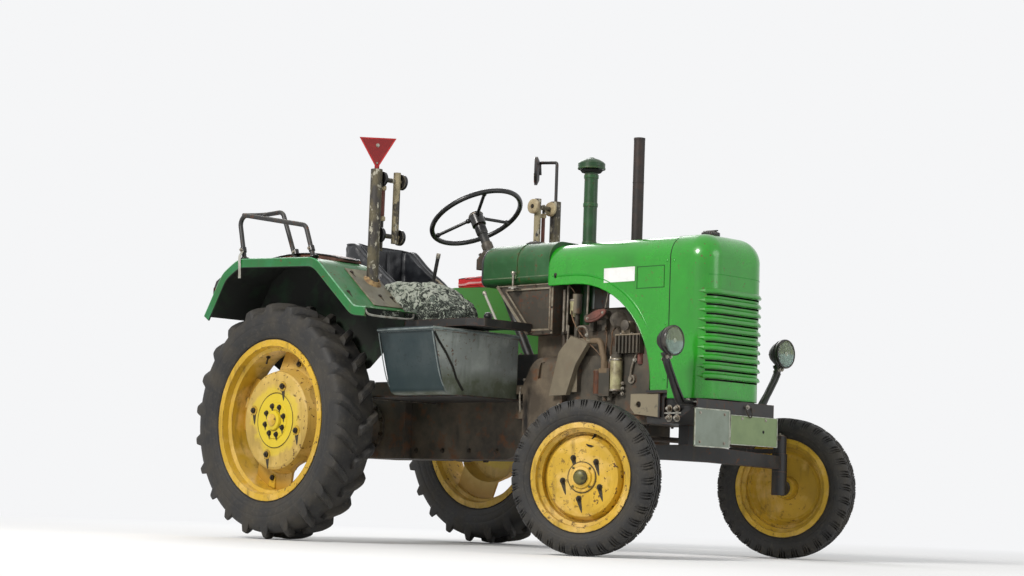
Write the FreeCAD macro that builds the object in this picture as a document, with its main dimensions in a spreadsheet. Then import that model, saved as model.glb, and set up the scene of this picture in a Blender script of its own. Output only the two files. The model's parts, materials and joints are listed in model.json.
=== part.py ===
import FreeCAD, Part

import math
import os
import re

import Sketcher

# Farm tractor: a small wheeled field tractor of about 28 horsepower, millimetres.
# Stations along the tractor (x) are measured forward from the rear axle, y to the left from the
# centre plane and z up from the ground. rear_axle_x shifts them so that the finished tractor
# has its origin on the ground at the middle of its length.

# Columns: alias, number, what it is
SIZES = [
    ("rear_axle_x", -850, "rear axle behind the middle of the tractor"),
    ("wheelbase", 1900, "rear axle to front axle"),
    ("seam", 0.8, "open seam between sheet panels"),
    ("seat_gap", 0.3, "gap between a piece and what carries it"),
    ("skin", 3, "sheet metal"),
    # rear wheels
    ("rear_tip", 550, "rear tyre radius at the lug tips, and axle height"),
    ("rear_tread", 524, "rear tyre radius between the lugs"),
    ("lug_count", 22, "lugs in each of a rear tyre's two rows"),
    ("lug_base", 54, "lug width at its root"),
    ("lug_top", 30, "lug width at its tip"),
    ("lug_lead", 9, "degrees that a lug's inner end runs ahead of its outer end"),
    ("rear_tyre_half", 117, "half the width of a rear tyre"),
    ("rear_track_half", 690, "centre plane to the middle of a rear wheel"),
    ("rear_flange", 375, "rear rim flange radius"),
    ("rear_rim_half", 95, "half the width of a rear rim"),
    ("rim_sheet", 5, "rim and disc metal"),
    ("dish_face", 225, "rear disc flat face radius"),
    ("dish_out", 55, "rear disc face outboard of the wheel's middle"),
    ("gap_first", 61.6, "degrees from the top to the first opening of a rear disc"),
    ("gap_inner", 242, "inner radius of an opening of a rear disc"),
    ("rear_hub_flange", 126, "rear hub flange radius"),
    ("half_shaft", 38, "rear half shaft radius"),
    ("shaft_gap", 0.5, "gap round a turning shaft"),
    # front wheels
    ("front_tip", 315, "front tyre radius and stub axle height"),
    ("front_tyre_half", 65, "half the width of a front tyre"),
    ("front_facets", 32, "flat facets round a front tyre"),
    ("crown_half", 34, "half the width of a front tyre's flat crown"),
    ("kingpin_y", 610, "centre plane to kingpin"),
    ("scrub", 90, "kingpin to the middle of a front wheel"),
    ("front_flange", 221, "front rim flange radius"),
    ("front_rim_half", 55, "half the width of a front rim"),
    ("front_dish", 162, "front disc radius"),
    ("front_dish_out", 34, "front disc face outboard of the wheel's middle"),
    ("stub_radius", 20, "front stub axle radius"),
    ("parked_steer", 17.5, "degrees that the front wheels are turned to the left as parked"),
    # axle, knuckles and steering
    ("kingpin_radius", 15, "kingpin"),
    ("boss_radius", 34, "axle end boss"),
    ("boss_low", 385, "axle end boss, lower face"),
    ("boss_top", 465, "axle end boss, upper face"),
    ("beam_x_half", 28, "half the axle beam's width along the tractor"),
    ("steer_arm", 140, "kingpin to ball pin"),
    ("arm_thick", 20, "steering arm thickness"),
    ("pin_radius", 8, "ball pin radius"),
    ("rod_eye", 18, "rod eye radius"),
    ("rod_radius", 12, "tie rod and drag link radius"),
    ("eye_tall", 26, "height of a rod eye"),
    ("link_arm_z", 525, "upper steering arm, lower face"),
    ("box_x", 950, "steering box cross shaft station"),
    ("box_z", 840, "steering box cross shaft height"),
    ("drop_arm", 200, "drop arm, shaft to rod pin"),
    ("drop_arm_y", 226, "drop arm, inner face"),
    ("drop_arm_thick", 20, "drop arm thickness"),
    ("cross_shaft", 14, "cross shaft radius"),
    ("link_rear_y", 270, "drag link rear eye from the centre plane"),
    ("hand_x", 526, "steering wheel centre station"),
    ("hand_z", 1557, "steering wheel centre height"),
    ("hand_tilt", 29.8, "degrees that the column leans"),
    ("hand_radius", 222, "steering wheel rim, to the middle of its section"),
    ("hand_grip", 12, "steering wheel rim section radius"),
    ("hand_hub", 34, "steering wheel hub radius"),
    ("column_radius", 22, "steering column radius"),
    # driveline
    ("housing_rear", -200, "rear axle housing, rear face"),
    ("housing_front", 260, "rear axle housing, front face"),
    ("housing_half", 165, "half width of the rear axle housing"),
    ("housing_low", 400, "rear axle housing, underside"),
    ("housing_top", 760, "rear axle housing, top"),
    ("trumpet_end", 450, "trumpet housing, outer end"),
    ("drum_end", 540, "brake drum, outer face"),
    ("drum_radius", 140, "brake drum radius"),
    ("pad_top", 720, "fender pad height"),
    ("pad_half", 80, "half length of the fender pad"),
    ("pto_z", 520, "power take-off shaft height"),
    ("pto_radius", 17.45, "power take-off shaft radius"),
    ("pto_end", -320, "power take-off shaft, free end"),
    ("gearbox_front", 1050, "gearbox, front face"),
    ("gearbox_half", 120, "half width of the gearbox"),
    ("gearbox_low", 410, "gearbox underside"),
    ("gearbox_top", 730, "gearbox top"),
    ("bell_front", 1290, "flywheel housing, front face"),
    ("bell_half", 175, "half width of the flywheel housing"),
    ("bell_shoulder", 866, "flywheel housing, upper shoulder"),
    ("bell_z", 745, "crankshaft height"),
    ("bell_top", 960, "flywheel housing pedestal top"),
    ("engine_half", 145, "half width of the engine block"),
    ("engine_low", 560, "engine block underside"),
    ("engine_top", 900, "engine block top"),
    ("sump_low", 480, "sump underside"),
    ("head_half", 125, "half width of the cylinder head"),
    ("head_top", 1000, "cylinder head top"),
    ("rocker_top", 1080, "rocker cover top"),
    ("frame_half", 185, "half width of the front frame casting"),
    ("frame_low", 600, "front frame underside"),
    ("frame_top", 700, "front frame plate top, where the cowl stands"),
    ("ear_hole", 14, "front ear hole radius"),
    ("ear_hole_z", 640, "front ear hole height"),
    # hood
    ("hood_half", 205, "half width of the hood"),
    ("hood_top", 1365, "hood top"),
    ("hood_rear", 1215, "bonnet rear edge"),
    ("hood_shoulder", 105, "radius of the hood's shoulders"),
    ("cowl_corner", 95, "radius of the cowl's upright corners"),
    ("cowl_low", 665, "cowl's lower edge"),
    ("louvre_count", 10, "louvres of the cowl"),
    ("louvre_top", 1115, "height of the uppermost louvre"),
    ("louvre_pitch", 39.4, "one louvre to the next"),
    ("louvre_tall", 24, "height of one louvre"),
    ("louvre_rise", 11, "how far a louvre stands out"),
    ("louvre_start", 42, "degrees round the corner at which a louvre has its full section"),
    ("louvre_tip", 17, "degrees of a louvre's pointed end"),
    ("slot_tall", 8, "height of the slot under a louvre"),
    ("arch_top", 1177, "side opening, upper edge"),
    ("arch_radius", 455, "side opening corner radius"),
    ("radiator_top", 1280, "radiator top"),
    ("hose_radius", 22, "coolant hose radius"),
    ("tank_rear", 771, "fuel tank rear end"),
    ("tank_low", 1190, "fuel tank underside"),
    ("tank_top", 1383, "fuel tank top"),
    ("tank_shoulder", 90, "fuel tank upper edge radius"),
    ("cap_radius", 38, "radiator cap radius"),
    ("tank_cap_x", 930, "tank cap station"),
    ("strap_x", 990, "tank strap, rear edge"),
    ("console_rear", 870, "console, upper rear corner"),
    ("console_front", 1230, "console, front"),
    ("console_half", 185, "half width of the console under the tank"),
    ("dash_half", 110, "half width of the dash behind the tank"),
    ("exhaust_share", 0.51, "exhaust pipe's place along the engine, from its rear face"),
    ("exhaust_radius", 25, "exhaust pipe radius"),
    ("exhaust_top", 1840, "exhaust pipe top"),
    ("intake_x", 1265, "air intake station"),
    ("intake_radius", 31, "air intake pipe radius"),
    ("intake_top", 1728, "air intake pipe top"),
    ("mushroom_radius", 62, "air intake cap radius"),
    # fenders
    ("fender_in", 541, "fender inner wall from the centre plane"),
    ("fender_out", 850, "fender outer edge"),
    ("fender_lip", 40, "depth of the fender's outer lip"),
    ("fender_bend", 150, "radius of the fender's bends"),
    ("toe_bend", 60, "radius at the foot of the fender's front slope"),
    ("tail_x", -444, "fender tail station"),
    ("tail_z", 1045, "fender tail height"),
    ("haunch_x", -317, "fender haunch station"),
    ("haunch_z", 1244, "fender haunch height"),
    ("crown_x", -200, "start of the fender's flat top"),
    ("crown_z", 1306, "fender top at its start"),
    ("brow_x", 360, "end of the fender's flat top"),
    ("brow_z", 1283, "fender top at its end"),
    ("toe_x", 640, "foot of the fender's front slope"),
    ("toe_z", 1050, "foot of the fender's front slope"),
    ("tip_x", 720, "fender front lip"),
    ("tip_z", 1042, "fender front lip height"),
    ("slope_plate", 4, "thickness of the bare plate on the slope"),
    ("post_x", 475, "fender post station"),
    ("post_y", 600, "fender post from the centre plane"),
    ("post_radius", 27, "fender post radius"),
    ("post_top", 1710, "fender post top"),
    ("slim_y", 472, "inner post from the centre plane"),
    ("slim_radius", 17, "inner post radius"),
    ("slim_low", 1380, "inner post lower end"),
    ("roller_radius", 34, "post roller radius"),
    ("strut_radius", 7, "thin strut between the posts"),
    ("triangle_side", 170, "side of the red triangle"),
    ("rail_radius", 11, "grab rail tube radius"),
    ("rail_y", 825, "outer grab rail from the centre plane"),
    ("rail_in_y", 700, "inner grab rail from the centre plane"),
    ("rail_rear", -240, "grab rail, rear bend"),
    ("rail_front", 255, "grab rail, front bend"),
    ("rail_top", 1525, "grab rail, top at the rear bend"),
    # driver's place
    ("seat_rear", -200, "seat back, rear"),
    ("seat_front", 220, "seat pan, front edge"),
    ("seat_half", 210, "half width of the seat"),
    ("seat_low", 1130, "seat underside"),
    ("seat_back", 1450, "seat back top"),
    ("seat_wall", 45, "seat wall thickness"),
    ("seat_pan", 1190, "seat pan top"),
    ("seat_wing", 1215, "front end of the seat's wings"),
    ("board_rear", 420, "footboards, rear"),
    ("board_front", 800, "left footboard, front"),
    ("board_top", 670, "footboard top"),
    ("board_thick", 6, "footboard plate"),
    ("bench_low", 975, "side bench underside"),
    ("bench_top", 1010, "side bench top"),
    ("bench_front", 1100, "side bench front end"),
    ("bench_in", 290, "side bench inner edge"),
    ("tub_rear", 648, "side tub rear wall"),
    ("tub_front", 1000, "side tub front wall"),
    ("tub_in", 165, "side tub inner wall"),
    ("tub_out", 700, "side tub outer wall at the rim"),
    ("tub_taper", 85, "how far the outer wall leans in at the bottom"),
    ("tub_top", 962, "side tub rim"),
    ("knob_radius", 22, "gear lever knob radius"),
    ("pedal_x", 540, "pedal foot station"),
    ("cushion_rear", 470, "right cushion, rear"),
    ("cushion_front", 930, "right cushion, front"),
    ("cushion_top", 1205, "right cushion, highest point"),
    # lamps and plates
    ("lamp_y", 375, "headlamp from the centre plane"),
    ("lamp_z", 890, "headlamp height"),
    ("lamp_radius", 62, "headlamp radius"),
    ("lamp_deep", 75, "headlamp depth"),
    ("lamp_arm", 14, "headlamp arm radius"),
    ("mirror_x", 330, "mirror centre station"),
    ("mirror_rise", 170, "mirror centre above the post's top"),
    ("mirror_radius", 72, "mirror radius"),
    # stations measured from the front axle, see AHEAD
    ("engine_front", -100, "engine block, front face"),
    ("sump_front", -220, "sump, front end"),
    ("frame_front", 180, "front frame, front face"),
    ("ear_hole_x", -140, "front ear hole"),
    ("cowl_seam_x", 25, "seam between bonnet and cowl"),
    ("cowl_front", 230, "cowl front"),
    ("arch_front", -70, "side opening, front edge"),
    ("radiator_front", 140, "radiator front"),
    ("radiator_rear", 60, "radiator rear"),
    ("cap_x", 72, "radiator cap"),
    ("lamp_face", 200, "headlamp lens seat"),
    ("plate_x", 250, "front of the number plates"),
]
# Sizes that are stations ahead of the front axle, so that the whole front follows the wheelbase
AHEAD = {
    "engine_front", "sump_front", "frame_front", "ear_hole_x", "cowl_seam_x", "cowl_front", "arch_front",
    "radiator_front", "radiator_rear", "cap_x", "lamp_face", "plate_x",
}

doc = FreeCAD.newDocument("FarmTractor")
sheet = doc.addObject("Spreadsheet::Sheet", "Sizes")
for row, (alias, number, meaning) in enumerate(SIZES, start=1):
    sheet.set(f"A{row}", alias)
    sheet.set(f"B{row}", str(number))
    sheet.set(f"C{row}", meaning)
    sheet.setAlias(f"B{row}", alias)
doc.recompute()

ALIASES = {alias for alias, number, meaning in SIZES}
SIDES = (("left", 1), ("right", -1))
NODES = []
X_AXIS = FreeCAD.Vector(1, 0, 0)
Y_AXIS = FreeCAD.Vector(0, 1, 0)
Z_AXIS = FreeCAD.Vector(0, 0, 1)
UPRIGHT = FreeCAD.Rotation()
ALONG_X = FreeCAD.Rotation(Z_AXIS, X_AXIS)
ALONG_Y = FreeCAD.Rotation(Z_AXIS, Y_AXIS)


def bound(expression):
    """An expression over the aliases, in the form that the document's objects read."""

    def alias(match):
        word = match.group()
        if word in AHEAD:
            return f"(Sizes.wheelbase + Sizes.{word})"
        return "Sizes." + word if word in ALIASES else word

    return re.sub(r"[a-z_]+", alias, str(expression))


def size(expression):
    """The present value of an expression over the aliases."""
    return float(sheet.evalExpression(bound(expression)))


def station(x, y=0, z=0):
    """A place on the tractor, given by its station, as three expressions."""
    return (f"rear_axle_x + ({x})", str(y), str(z))


def place(item, at, turn=UPRIGHT):
    item.Placement = FreeCAD.Placement(FreeCAD.Vector(), turn)
    for letter, expression in zip("xyz", at):
        item.setExpression(f".Placement.Base.{letter}", bound(expression))
    return item


def node(item, label):
    """Names one of the tractor's sub-parts."""
    item.Label = label
    NODES.append(item)
    return item


# Primitives and booleans


def box(x, y, z, name="Block"):
    """A block between two stations, two distances from the centre plane and two heights."""
    item = doc.addObject("Part::Box", name)
    for prop, (low, high) in (("Length", x), ("Width", y), ("Height", z)):
        item.setExpression(prop, bound(f"({high}) - ({low})"))
    return place(item, station(x[0], y[0], z[0]))


def cylinder(radius, length, at, turn=UPRIGHT, name="Round"):
    item = doc.addObject("Part::Cylinder", name)
    item.setExpression("Radius", bound(radius))
    item.setExpression("Height", bound(length))
    return place(item, at, turn)


def cone(radius, end_radius, length, at, turn=UPRIGHT):
    item = doc.addObject("Part::Cone", "Taper")
    item.setExpression("Radius1", bound(radius))
    item.setExpression("Radius2", bound(end_radius))
    item.setExpression("Height", bound(length))
    return place(item, at, turn)


def fuse(*items, name="Joined"):
    item = doc.addObject("Part::MultiFuse", name)
    item.Shapes = list(items)
    return item


def apart(*items, name="Set"):
    item = doc.addObject("Part::Compound", name)
    item.Links = list(items)
    return item


def cut(base, *tools, name="Cut"):
    item = doc.addObject("Part::Cut", name)
    item.Base = base
    item.Tool = tools[0] if len(tools) == 1 else fuse(*tools)
    return item


# PartDesign bodies


def body(name, at=None, turn=UPRIGHT):
    item = doc.addObject("PartDesign::Body", name)
    return place(item, at or station(0), turn)


def outline(owner, plane, points, offset="0"):
    """A closed sketch through points given as pairs of expressions."""
    sketch = owner.newObject("Sketcher::SketchObject", "Outline")
    support = next(f for f in owner.Origin.OriginFeatures if f.Role == plane + "_Plane")
    sketch.AttachmentSupport = (support, [""])
    sketch.MapMode = "FlatFace"
    sketch.setExpression(".AttachmentOffset.Base.z", bound(offset))
    values = [FreeCAD.Vector(size(u), size(v), 0) for u, v in points]
    count = len(points)
    for k in range(count):
        sketch.addGeometry(Part.LineSegment(values[k], values[(k + 1) % count]))
    for k in range(count):
        sketch.addConstraint(Sketcher.Constraint("Coincident", k, 2, (k + 1) % count, 1))
    for k, (u, v) in enumerate(points):
        for kind, expression, number in (("DistanceX", u, values[k].x), ("DistanceY", v, values[k].y)):
            index = sketch.addConstraint(Sketcher.Constraint(kind, -1, 1, k, 1, number))
            sketch.setExpression(f"Constraints[{index}]", bound(expression))
    return sketch


def span(plane, low, high):
    """Offset and length of a pad between two distances along a plane's own axis."""
    if plane == "XZ":
        return f"-({high})", f"({high}) - ({low})"
    return str(low), f"({high}) - ({low})"


def pad(owner, plane, points, low, high):
    offset, length = span(plane, low, high)
    item = owner.newObject("PartDesign::Pad", "Pad")
    item.Profile = outline(owner, plane, points, offset)
    item.setExpression("Length", bound(length))
    return item


def pocket(owner, plane, points, low, high):
    """Cuts an outline out of the body between two distances along the plane's axis."""
    offset, length = span(plane, low, high)
    before = owner.Tip
    item = owner.newObject("PartDesign::Pocket", "Pocket")
    item.Profile = outline(owner, plane, points, offset)
    item.setExpression("Length", bound(length))
    item.Reversed = True
    doc.recompute()
    if item.Shape.Volume > before.Shape.Volume - 1:
        raise ValueError(f"a pocket in {owner.Label} cuts nothing")
    return item


def turned(owner, points):
    """A ring or disc turned about the body's own Y axis from (distance, radius) points."""
    sketch = outline(owner, "YZ", points)
    item = owner.newObject("PartDesign::Revolution", "Turned")
    item.Profile = sketch
    item.ReferenceAxis = (sketch, ["H_Axis"])
    item.Angle = 360
    return item


def edge_names(shape, pick):
    return [f"Edge{k}" for k, edge in enumerate(shape.Edges, start=1) if pick(edge)]


def round_edges(owner, pick, radius):
    doc.recompute()
    base = owner.Tip
    item = owner.newObject("PartDesign::Fillet", "Rounded")
    item.Base = (base, edge_names(base.Shape, pick))
    item.setExpression("Radius", bound(radius))
    return item


def shelled(owner, pick, wall):
    """Hollows the body inward, open at the faces that pick chooses."""
    doc.recompute()
    base = owner.Tip
    names = [f"Face{k}" for k, face in enumerate(base.Shape.Faces, start=1) if pick(face)]
    item = owner.newObject("PartDesign::Thickness", "Shell")
    item.Base = (base, names)
    item.setExpression("Value", bound(wall))
    item.Reversed = True
    item.Join = 1
    return item


def along(axis):
    """Chooses straight edges that run along an axis."""

    def pick(edge):
        run = edge.Vertexes[-1].Point - edge.Vertexes[0].Point
        return run.Length > 1 and abs(abs(run.normalize().dot(axis)) - 1) < 1e-6

    return pick


def near(value, target):
    return abs(value - target) < 0.01


# Sheet strips and bent tubes


def strip_points(points, depth):
    """A strip's closed outline: a line of (x, z) points and its copy set in by depth."""
    inner = []
    for k, (x, z) in enumerate(points):
        before = points[max(k - 1, 0)]
        after = points[min(k + 1, len(points) - 1)]
        runs = [(x - before[0], z - before[1]), (after[0] - x, after[1] - z)]
        normals = []
        for run_x, run_z in runs:
            length = math.hypot(run_x, run_z)
            if length:
                normals.append((run_z / length, -run_x / length))
        nx = sum(n[0] for n in normals) / len(normals)
        nz = sum(n[1] for n in normals) / len(normals)
        scale = depth / (nx * nx + nz * nz)
        inner.append((x + nx * scale, z + nz * scale))
    return list(points) + inner[::-1]


def solid_feature(shape, name, at=None):
    item = doc.addObject("Part::Feature", name)
    item.Shape = shape
    return place(item, at or station(0))


def side_plate(points, low, high, name="Plate"):
    """A flat plate from (x, z) numbers, between two distances from the centre plane."""
    corners = [FreeCAD.Vector(x, size(low), z) for x, z in points]
    face = Part.Face(Part.makePolygon(corners + corners[:1]))
    return solid_feature(face.extrude(FreeCAD.Vector(0, size(high) - size(low), 0)), name)


def tube_path(points, bend):
    """Straight runs through the points, joined by arcs of one bend radius."""
    return Part.Wire(rounded_run(points, [bend] * (len(points) - 2)))


def rounded_run(points, radii):
    """The edges of a line through points, each inner corner rounded by its own radius."""
    edges = []
    start = points[0]
    for before, corner, after, radius in zip(points, points[1:], points[2:], radii):
        if radius:
            back = (before - corner).normalize()
            ahead = (after - corner).normalize()
            half = back.getAngle(ahead) / 2
            first = corner + back * (radius / math.tan(half))
            last = corner + ahead * (radius / math.tan(half))
            middle = corner + (back + ahead).normalize() * (radius / math.sin(half) - radius)
            edges.append(Part.LineSegment(start, first).toShape())
            edges.append(Part.Arc(first, middle, last).toShape())
            start = last
        else:
            edges.append(Part.LineSegment(start, corner).toShape())
            start = corner
    edges.append(Part.LineSegment(start, points[-1]).toShape())
    return edges


def rounded_plate(points, radii, low, high, name="Plate"):
    """A flat plate from (x, z) numbers, its corners after the first rounded, between two distances."""
    corners = [FreeCAD.Vector(x, size(low), z) for x, z in points]
    edges = rounded_run(corners, radii)
    edges.append(Part.LineSegment(corners[-1], corners[0]).toShape())
    face = Part.Face(Part.Wire(edges))
    return solid_feature(face.extrude(FreeCAD.Vector(0, size(high) - size(low), 0)), name)


def bent_strip(points, radii, depth, low, high, name="Strip"):
    """A bent sheet strip: a rounded line of (x, z) numbers and its copy set in by depth."""
    inner = strip_points(points, depth)[len(points):]
    inner_radii = []
    for before, corner, after, radius in zip(points, points[1:], points[2:], radii):
        turn = ((corner[0] - before[0]) * (after[1] - corner[1])
                - (corner[1] - before[1]) * (after[0] - corner[0]))
        inner_radii.append(radius - depth if turn < 0 else radius + depth)
    return rounded_plate(list(points) + inner, list(radii) + [0, 0] + inner_radii[::-1], low, high, name)


def bent_tube(points, radius, bend, name="Tube"):
    """A round bar bent through places given as expressions."""
    places = [FreeCAD.Vector(*(size(value) for value in point)) for point in points]
    path = tube_path(places, bend)
    ring = Part.Wire(Part.makeCircle(size(radius), places[0], places[1] - places[0]))
    return solid_feature(path.makePipeShell([ring], True, False), name)


def rod(start, end, radius, name="Rod"):
    """A straight round bar between two places given as expressions."""
    first = FreeCAD.Vector(*(size(value) for value in start))
    last = FreeCAD.Vector(*(size(value) for value in end))
    item = doc.addObject("Part::Cylinder", name)
    item.setExpression("Radius", bound(radius))
    runs = [f"(({b}) - ({a}))^2" for a, b in zip(start, end)]
    item.setExpression("Height", bound("sqrt(" + " + ".join(runs) + ")"))
    return place(item, start, FreeCAD.Rotation(Z_AXIS, last - first))


# Driveline: rear axle housing, gearbox, flywheel housing and engine in one line


def make_rear_axle_housing():
    case = body("AxleCase")
    pad(case, "XZ", [
        ("housing_rear", "housing_low + 50"), ("housing_rear + 50", "housing_low"),
        ("housing_front", "housing_low"), ("housing_front", "housing_top"),
        ("housing_rear + 40", "housing_top"), ("housing_rear", "housing_top - 40"),
    ], "-housing_half", "housing_half")
    pieces = [case]
    bores = []
    for side, sign in SIDES:
        turn = FreeCAD.Rotation(Z_AXIS, Y_AXIS * sign)
        inner = station("0", f"{sign} * (housing_half - 5)", "rear_tip")
        pieces.append(cone("100", "72", "trumpet_end - housing_half + 5", inner, turn))
        drum = station("0", f"{sign} * trumpet_end", "rear_tip")
        pieces.append(cylinder("drum_radius", "drum_end - trumpet_end", drum, turn))
        edges = sorted([f"{sign} * (trumpet_end + 5)", f"{sign} * (drum_end - 5)"], key=size)
        pieces.append(box(("-pad_half", "pad_half"), edges, ("rear_tip", "pad_top")))
        bore = station("0", f"{sign} * (drum_end - 40)", "rear_tip")
        bores.append(cylinder("half_shaft + shaft_gap", "50", bore, turn))
    boss = station("housing_rear - 15", "0", "pto_z")
    pieces.append(cylinder("48", "20", boss, ALONG_X))
    shaft = station("pto_end", "0", "pto_z")
    pieces.append(cylinder("pto_radius", "housing_rear - pto_end", shaft, ALONG_X))
    node(cut(fuse(*pieces), *bores), "rear_axle_housing")


def make_gearbox():
    case = body("Gearbox")
    pad(case, "XZ", [
        ("housing_front", "gearbox_low - 10"), ("gearbox_front - 150", "gearbox_low - 10"),
        ("gearbox_front", "gearbox_low + 40"), ("gearbox_front", "gearbox_top"),
        ("housing_front + 200", "gearbox_top"), ("housing_front + 150", "housing_top"),
        ("housing_front", "housing_top"),
    ], "-gearbox_half", "gearbox_half")
    cover = box(("500", "700"), ("-80", "80"), ("gearbox_top", "gearbox_top + 35"))
    node(fuse(case, cover), "gearbox")


def engine_x(share):
    """A station along the engine, as a share of its length from its rear face."""
    return f"bell_front + {share} * (engine_front - bell_front)"


def make_flywheel_housing():
    bell = body("BellHousing")
    pad(bell, "XZ", [
        ("gearbox_front", "sump_low"), ("bell_front", "sump_low"), ("bell_front", "bell_shoulder"),
        ("gearbox_front + 85", "bell_shoulder"), ("gearbox_front + 60", "bell_shoulder - 16"),
        ("gearbox_front", "bell_z - 5"),
    ], "-bell_half", "bell_half")
    level = size("bell_shoulder")
    round_edges(bell, lambda e: along(X_AXIS)(e) and near(e.CenterOfMass.z, level), "60")
    slot = [("gearbox_front + 100", "bell_z + 90"), ("gearbox_front + 124", "bell_z + 93"),
            ("gearbox_front + 115", "bell_z + 20"), ("gearbox_front + 89", "bell_z + 17")]
    for low, high in (("-bell_half", "-bell_half + 14"), ("bell_half - 14", "bell_half")):
        pocket(bell, "XZ", slot, low, high)
    pedestal = box(("gearbox_front + 20", "bell_front"), ("-110", "110"), ("bell_z", "bell_top"))
    breather = cylinder("12", "190", station("bell_front - 45", "-120", "bell_shoulder - 4"))
    pieces = [bell, pedestal, breather]
    for side, sign in SIDES:
        edges = sorted([f"{sign} * (gearbox_half + seat_gap)", f"{sign} * (bell_half - 3)"], key=size)
        for low in ("585", "695"):
            pieces.append(box(("gearbox_front - 46", "gearbox_front + 2"), edges, (low, f"{low} + 40")))
    node(fuse(*pieces), "flywheel_housing")


def make_engine():
    block = box(("bell_front", "engine_front"), ("-engine_half", "engine_half"),
                ("engine_low", "engine_top"))
    sump = box(("bell_front + 20", "sump_front"), ("-110", "110"), ("sump_low", "engine_low"))
    pulley = cylinder("42", "34", station("engine_front - 4", "0", "bell_z + 5"), ALONG_X)
    node(fuse(block, sump, pulley), "engine_block")
    head = box(("bell_front + 40", "engine_front - 40"), ("-head_half", "head_half"),
               ("engine_top", "head_top"))
    rocker = body("RockerCover")
    pad(rocker, "YZ", [("-75", "head_top"), ("75", "head_top"), ("75", "rocker_top"),
                       ("-75", "rocker_top")], "bell_front + 60", "engine_front - 60")
    round_edges(rocker, lambda e: along(X_AXIS)(e) and e.CenterOfMass.z > size("head_top") + 1, "25")
    node(fuse(head, rocker), "cylinder_head")


def make_engine_fittings():
    """Cooling duct, pump, filters, pipes and manifold on the right, starter and oil pipe rail on the left."""
    right = "-engine_half"
    left = "engine_half"
    low = "engine_low"
    top = "engine_top"
    # Columns: rear and front share of the engine's length, two distances from the centre plane, low, top
    right_blocks = [
        (0.06, 0.96, f"{right} - 8", right, f"{low} + 40", f"{top} - 40"),
        (0.02, 0.18, f"{right} - 34", right, f"{low} + 140", f"{top} - 20"),
        (0.46, 0.58, f"{right} - 50", right, f"{low} + 119", f"{top} - 100"),
        (0.44, 0.60, f"{right} - 42", right, f"{low} + 165", f"{top} - 130"),
        (0.61, 0.88, f"{right} - 30", right, f"{top} - 36", f"{top} - 2"),
        (0.61, 0.88, f"{right} - 30", f"{right} + 18", f"{top} + 1", f"{top} + 40"),
    ]
    right_blocks += [(rib, rib + 0.014, f"{right} - 42", right, f"{top} - 36", f"{top} + 40")
                     for rib in (0.62, 0.66, 0.70, 0.74, 0.78, 0.82, 0.86)]
    left_blocks = [
        (0.28, 0.80, left, f"{left} + 30", f"{top} - 80", f"{top} - 20"),
        (0.05, 0.14, left, f"{left} + 62", f"{low} + 40", f"{low} + 140"),
    ]
    # Columns: share of the engine's length, radius, distance from the centre plane, low, top
    right_rounds = [
        (0.42, "20", f"{right} - 28", f"{low} + 125", f"{top} - 105"),
        (0.50, "12", f"{right} - 30", f"{low} + 100", f"{top} - 70"),
        (0.56, "12", f"{right} - 30", f"{low} + 100", f"{top} - 70"),
        (0.625, "24", f"{right} - 30", f"{low} + 138", f"{top} - 42"),
        (0.625, "15", f"{right} - 30", f"{low} + 130", f"{top} - 30"),
        (0.12, "10", f"{right} - 14", f"{top} - 40", "head_top + 50"),
        (0.12, "21", f"{right} - 14", "head_top + 48", "head_top + 135"),
    ]

    def blocks(table):
        return [box((engine_x(rear), engine_x(front)), (outer, inner), (foot, head))
                for rear, front, outer, inner, foot, head in table]

    rounds = [cylinder(radius, f"{head} - ({foot})", station(engine_x(share), across, foot))
              for share, radius, across, foot, head in right_rounds]
    duct = body("CoolingDuct")
    waist = (f"{top} - 82", f"{top} - 24")
    pad(duct, "XZ", [
        (engine_x(-0.1), f"{low} + 123"), (engine_x(0.1), f"{low} + 127"), (engine_x(0.2), waist[0]),
        (engine_x(0.34), f"{top} + 12"), (engine_x(0.14), f"{top} + 45"), (engine_x(0), waist[1]),
    ], f"{right} - 60", f"{right} - 32")
    low_waist, high_waist = map(size, waist)
    round_edges(duct, lambda e: along(Y_AXIS)(e)
                and (near(e.CenterOfMass.z, low_waist) or near(e.CenterOfMass.z, high_waist)), "60")
    across = f"{right} - 34"
    elbow = bent_tube([(engine_x(0.2), across, f"{top} + 22"), (engine_x(0.44), across, f"{top} + 22"),
                       (engine_x(0.49), across, f"{top} - 60"), (engine_x(0.49), across, f"{top} - 120")],
                      "14", 26, "Elbow")
    starter = rod(station(engine_x(0.06), f"{left} + 48", f"{low} + 90"),
                  station(engine_x(0.42), f"{left} + 48", f"{low} + 90"), "44", "Starter")
    across = f"{right} - 5"
    manifold = rod(station(engine_x(0.22), across, "head_top + 24"),
                   station(engine_x(0.48), across, "head_top + 38"), "18", "Manifold")
    stubs = [box((engine_x(share), engine_x(share + 0.05)), (across, "-head_half - seat_gap"),
                 ("head_top - 30", "head_top + 30")) for share in (0.25, 0.40)]
    node(apart(fuse(*blocks(right_blocks), *rounds, duct, elbow), fuse(starter, *blocks(left_blocks)),
               fuse(manifold, *stubs)), "engine_fittings")


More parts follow.
